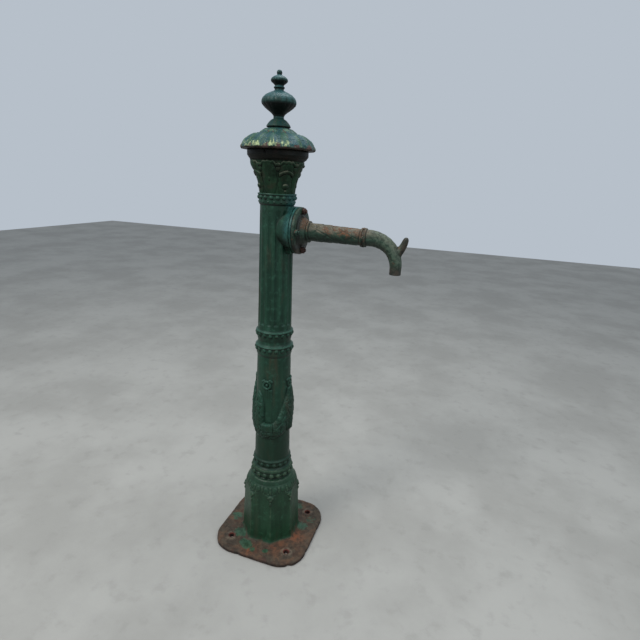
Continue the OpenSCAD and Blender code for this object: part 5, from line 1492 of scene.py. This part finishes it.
def capital_material():
    """The capital's paint, with the cornice above it brown and almost black."""
    m = Nodes("weathered_capital")
    z = m.height()
    mid = m.noise(60.0, 5, 0.62, None, 0.4)
    fine = m.noise(380.0, 4, 0.6)
    big = m.noise(12.0, 4, 0.55, m.map(m.obj, loc=(1.7, 0.4, 0)))
    col = m.mix(m.span(big, 0.38, 0.62), rgb(17, 37, 23), rgb(29, 56, 37))
    col = m.mix(m.span(mid, 0.50, 0.70, 0, 0.7), col, rgb(40, 64, 46))
    col = m.mix(m.span(m.noise(30.0, 5, 0.6, m.map(m.obj, loc=(5, 0, 0)), 0.4), 0.50, 0.66, 0, 0.6), col, rgb(46, 46, 34))
    # painted highlight where it looks up, on the leaf tips and buds
    col = m.mix(m.math("MULTIPLY", m.span(m.up(), -0.05, 0.55), m.span(mid, 0.36, 0.60, 0.35, 0.80)), col, m.mix(m.span(mid, 0.42, 0.6), rgb(64, 78, 62), rgb(104, 106, 88)))
    # painted shade where it looks down
    col = m.mix(m.math("MULTIPLY", m.span(m.up(), -0.25, -0.8), 0.75), col, rgb(8, 11, 9))
    # paint worn on what stands out, with a painted highlight on it
    col = m.mix(m.math("MULTIPLY", m.math("MULTIPLY", m.span(m.stand, 0.15, 0.7), m.span(mid, 0.4, 0.6)), 0.4), col, rgb(62, 66, 52))
    top = m.span(z, 1.4075, 1.4120)
    dark = m.mix(m.span(mid, 0.38, 0.64), rgb(9, 11, 8), rgb(21, 18, 14))
    dark = m.mix(m.span(m.noise(26.0, 5, 0.6, m.map(m.obj, loc=(9, 0, 2)), 0.5), 0.54, 0.66, 0, 0.8), dark, rgb(32, 22, 18))
    col = m.mix(m.math("MULTIPLY", top, 0.94), col, dark)
    # painted shade in the hollows
    col = m.mix(m.math("MULTIPLY", m.span(m.stand, -0.04, -0.42), 0.65), col, rgb(7, 12, 8))
    rust = m.span(m.math("ADD", m.math("MULTIPLY", m.noise(26.0, 6, 0.68, m.map(m.obj, loc=(3, 3, 0)), 0.6), 0.72), m.math("MULTIPLY", fine, 0.28)), 0.665, 0.72)
    col = m.mix(m.math("MULTIPLY", rust, 0.8), col, rgb(76, 50, 38))
    m.bump(m.math("ADD", m.math("MULTIPLY", fine, 0.5), m.math("MULTIPLY", mid, 0.9)), 0.55, 0.0008)
    return m.finish(col, m.math("MAXIMUM", m.span(mid, 0.3, 0.7, 0.40, 0.56), m.math("MULTIPLY", rust, 0.85)), 0.0, 0.14)


MAT["pedestal"] = foot_material()
MAT["spout"] = spout_material()
MAT["capital"] = capital_material()
MAT["studs"] = stud_material()
MAT["cap"] = cap_material()

place(pedestal, "stand", "column_iron", MAT["pedestal"], "pedestal")
place(lower, "stand", "column_iron", MAT["column"], "lower_column")
place(upper, "stand", "column_iron", MAT["column"], "upper_column")
place(capital, "stand", "capital_iron", MAT["capital"], "capital")
place(cap, "stand", "cap_iron", MAT["cap"], "cap")
place(finial, "stand", "cap_iron", MAT["finial"], "finial")
place(spout, "stand", "spout_iron", MAT["spout"], "spout")
place(nuts, "stand", "rusty_steel", MAT["studs"], "spout_nuts")
place(studs, "stand", "rusty_steel", MAT["studs"], "spout_bolts")
place(lever, "lever", "lever_iron", MAT["lever"], "lever")
place(lever_nut, "lever", "rusty_steel", MAT["rusty"], "lever_nut")
place(lever_washer, "lever", "rusty_steel", MAT["rusty"], "lever_washer")

# every CAD node gets the finish of its slot
slot_of = {}
for part in frame["record"].get("subparts", []) or frame["record"].get("parts", []) or []:
    if isinstance(part, dict) and "node" in part:
        slot_of[part["node"]] = part.get("material_slot") or part.get("slot")
for name, obj in frame["nodes"].items():
    slot = slot_of.get(name) or obj.get("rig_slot")
    if slot is None and obj.data.materials and obj.data.materials[0]:
        slot = obj.data.materials[0].name.split(".")[0]
    # gaskets and set screws go near black: dark joints, and painted shade in the screw holes
    mat = MAT["grimy" if name in ("spout_gasket", "seat_gasket", "cap_set_screws") else SLOT_MAT.get(slot, "steel")]
    obj.data.materials.clear()
    obj.data.materials.append(mat)

# ---------------------------------------------------------------- stage
bpy.context.scene.view_settings.view_transform = "Standard"
bpy.context.scene.view_settings.look = "None"

def concrete():
    m = Nodes("pale_floor")
    big = m.noise(1.6, 5, 0.6)
    mid = m.noise(14.0, 5, 0.6)
    fine = m.noise(160.0, 4, 0.6)
    col = m.mix(m.span(big, 0.35, 0.65), rgb(150, 148, 142), rgb(164, 162, 156))
    col = m.mix(m.span(mid, 0.52, 0.72, 0, 0.35), col, rgb(136, 134, 128))
    m.bump(m.math("ADD", fine, m.math("MULTIPLY", mid, 1.5)), 0.25, 0.001)
    return m.finish(col, m.span(fine, 0.3, 0.7, 0.7, 0.85))


floor = make_mesh("floor", [(-9000, -9000, 0), (9000, -9000, 0), (9000, 9000, 0), (-9000, 9000, 0)], [(0, 1, 2, 3)])
floor.data.materials.append(concrete())

world = bpy.data.worlds.new("studio")
bpy.context.scene.world = world
world.use_nodes = True
bg = world.node_tree.nodes["Background"]
bg.inputs["Color"].default_value = rgb(183, 192, 202)
bg.inputs["Strength"].default_value = 1.0


def area(name, where, at, size, power, color=(1, 1, 1)):
    light = bpy.data.lights.new(name, "AREA")
    light.shape = "DISK"
    light.size = size
    light.energy = power
    light.color = color
    o = bpy.data.objects.new(name, light)
    bpy.context.scene.collection.objects.link(o)
    o.location = where
    o.rotation_euler = (Vector(at) - Vector(where)).to_track_quat("-Z", "Y").to_euler()
    return o


area("key", (-1.6, -2.4, 3.9), (0, 0, 0.9), 1.8, 95, (1.0, 0.985, 0.96))
area("fill", (2.7, -1.2, 2.6), (0, 0, 0.9), 2.2, 22, (0.93, 0.97, 1.0))
area("top", (0.2, 0.6, 4.0), (0, 0, 1.0), 2.2, 60, (0.95, 0.98, 1.0))

# ---------------------------------------------------------------- camera
cam = bpy.data.cameras.new("camera")
cam.sensor_width = 36.0
cam.sensor_fit = "HORIZONTAL"
cam.lens = 452.63 / 640.0 * 36.0
cam.clip_start, cam.clip_end = 0.02, 100.0
cam_o = bpy.data.objects.new("camera", cam)
bpy.context.scene.collection.objects.link(cam_o)
yaw, pitch, roll = 17.943 * RAD, 17.149 * RAD, 2.856 * RAD
right0 = np.array([math.cos(yaw), math.sin(yaw), 0])
fwd0 = np.array([-math.sin(yaw), math.cos(yaw), 0])
up0 = np.array([0, 0, 1.0])
fwd = math.cos(pitch) * fwd0 - math.sin(pitch) * up0
up = math.cos(pitch) * up0 + math.sin(pitch) * fwd0
right = math.cos(roll) * right0 + math.sin(roll) * up
up2 = -math.sin(roll) * right0 + math.cos(roll) * up
M = Matrix.Identity(4)
for i in range(3):
    M[i][0], M[i][1], M[i][2] = right[i], up2[i], -fwd[i]
M[0][3], M[1][3], M[2][3] = 0.6168, -1.3918, 1.3580
cam_o.matrix_world = M
bpy.context.scene.camera = cam_o
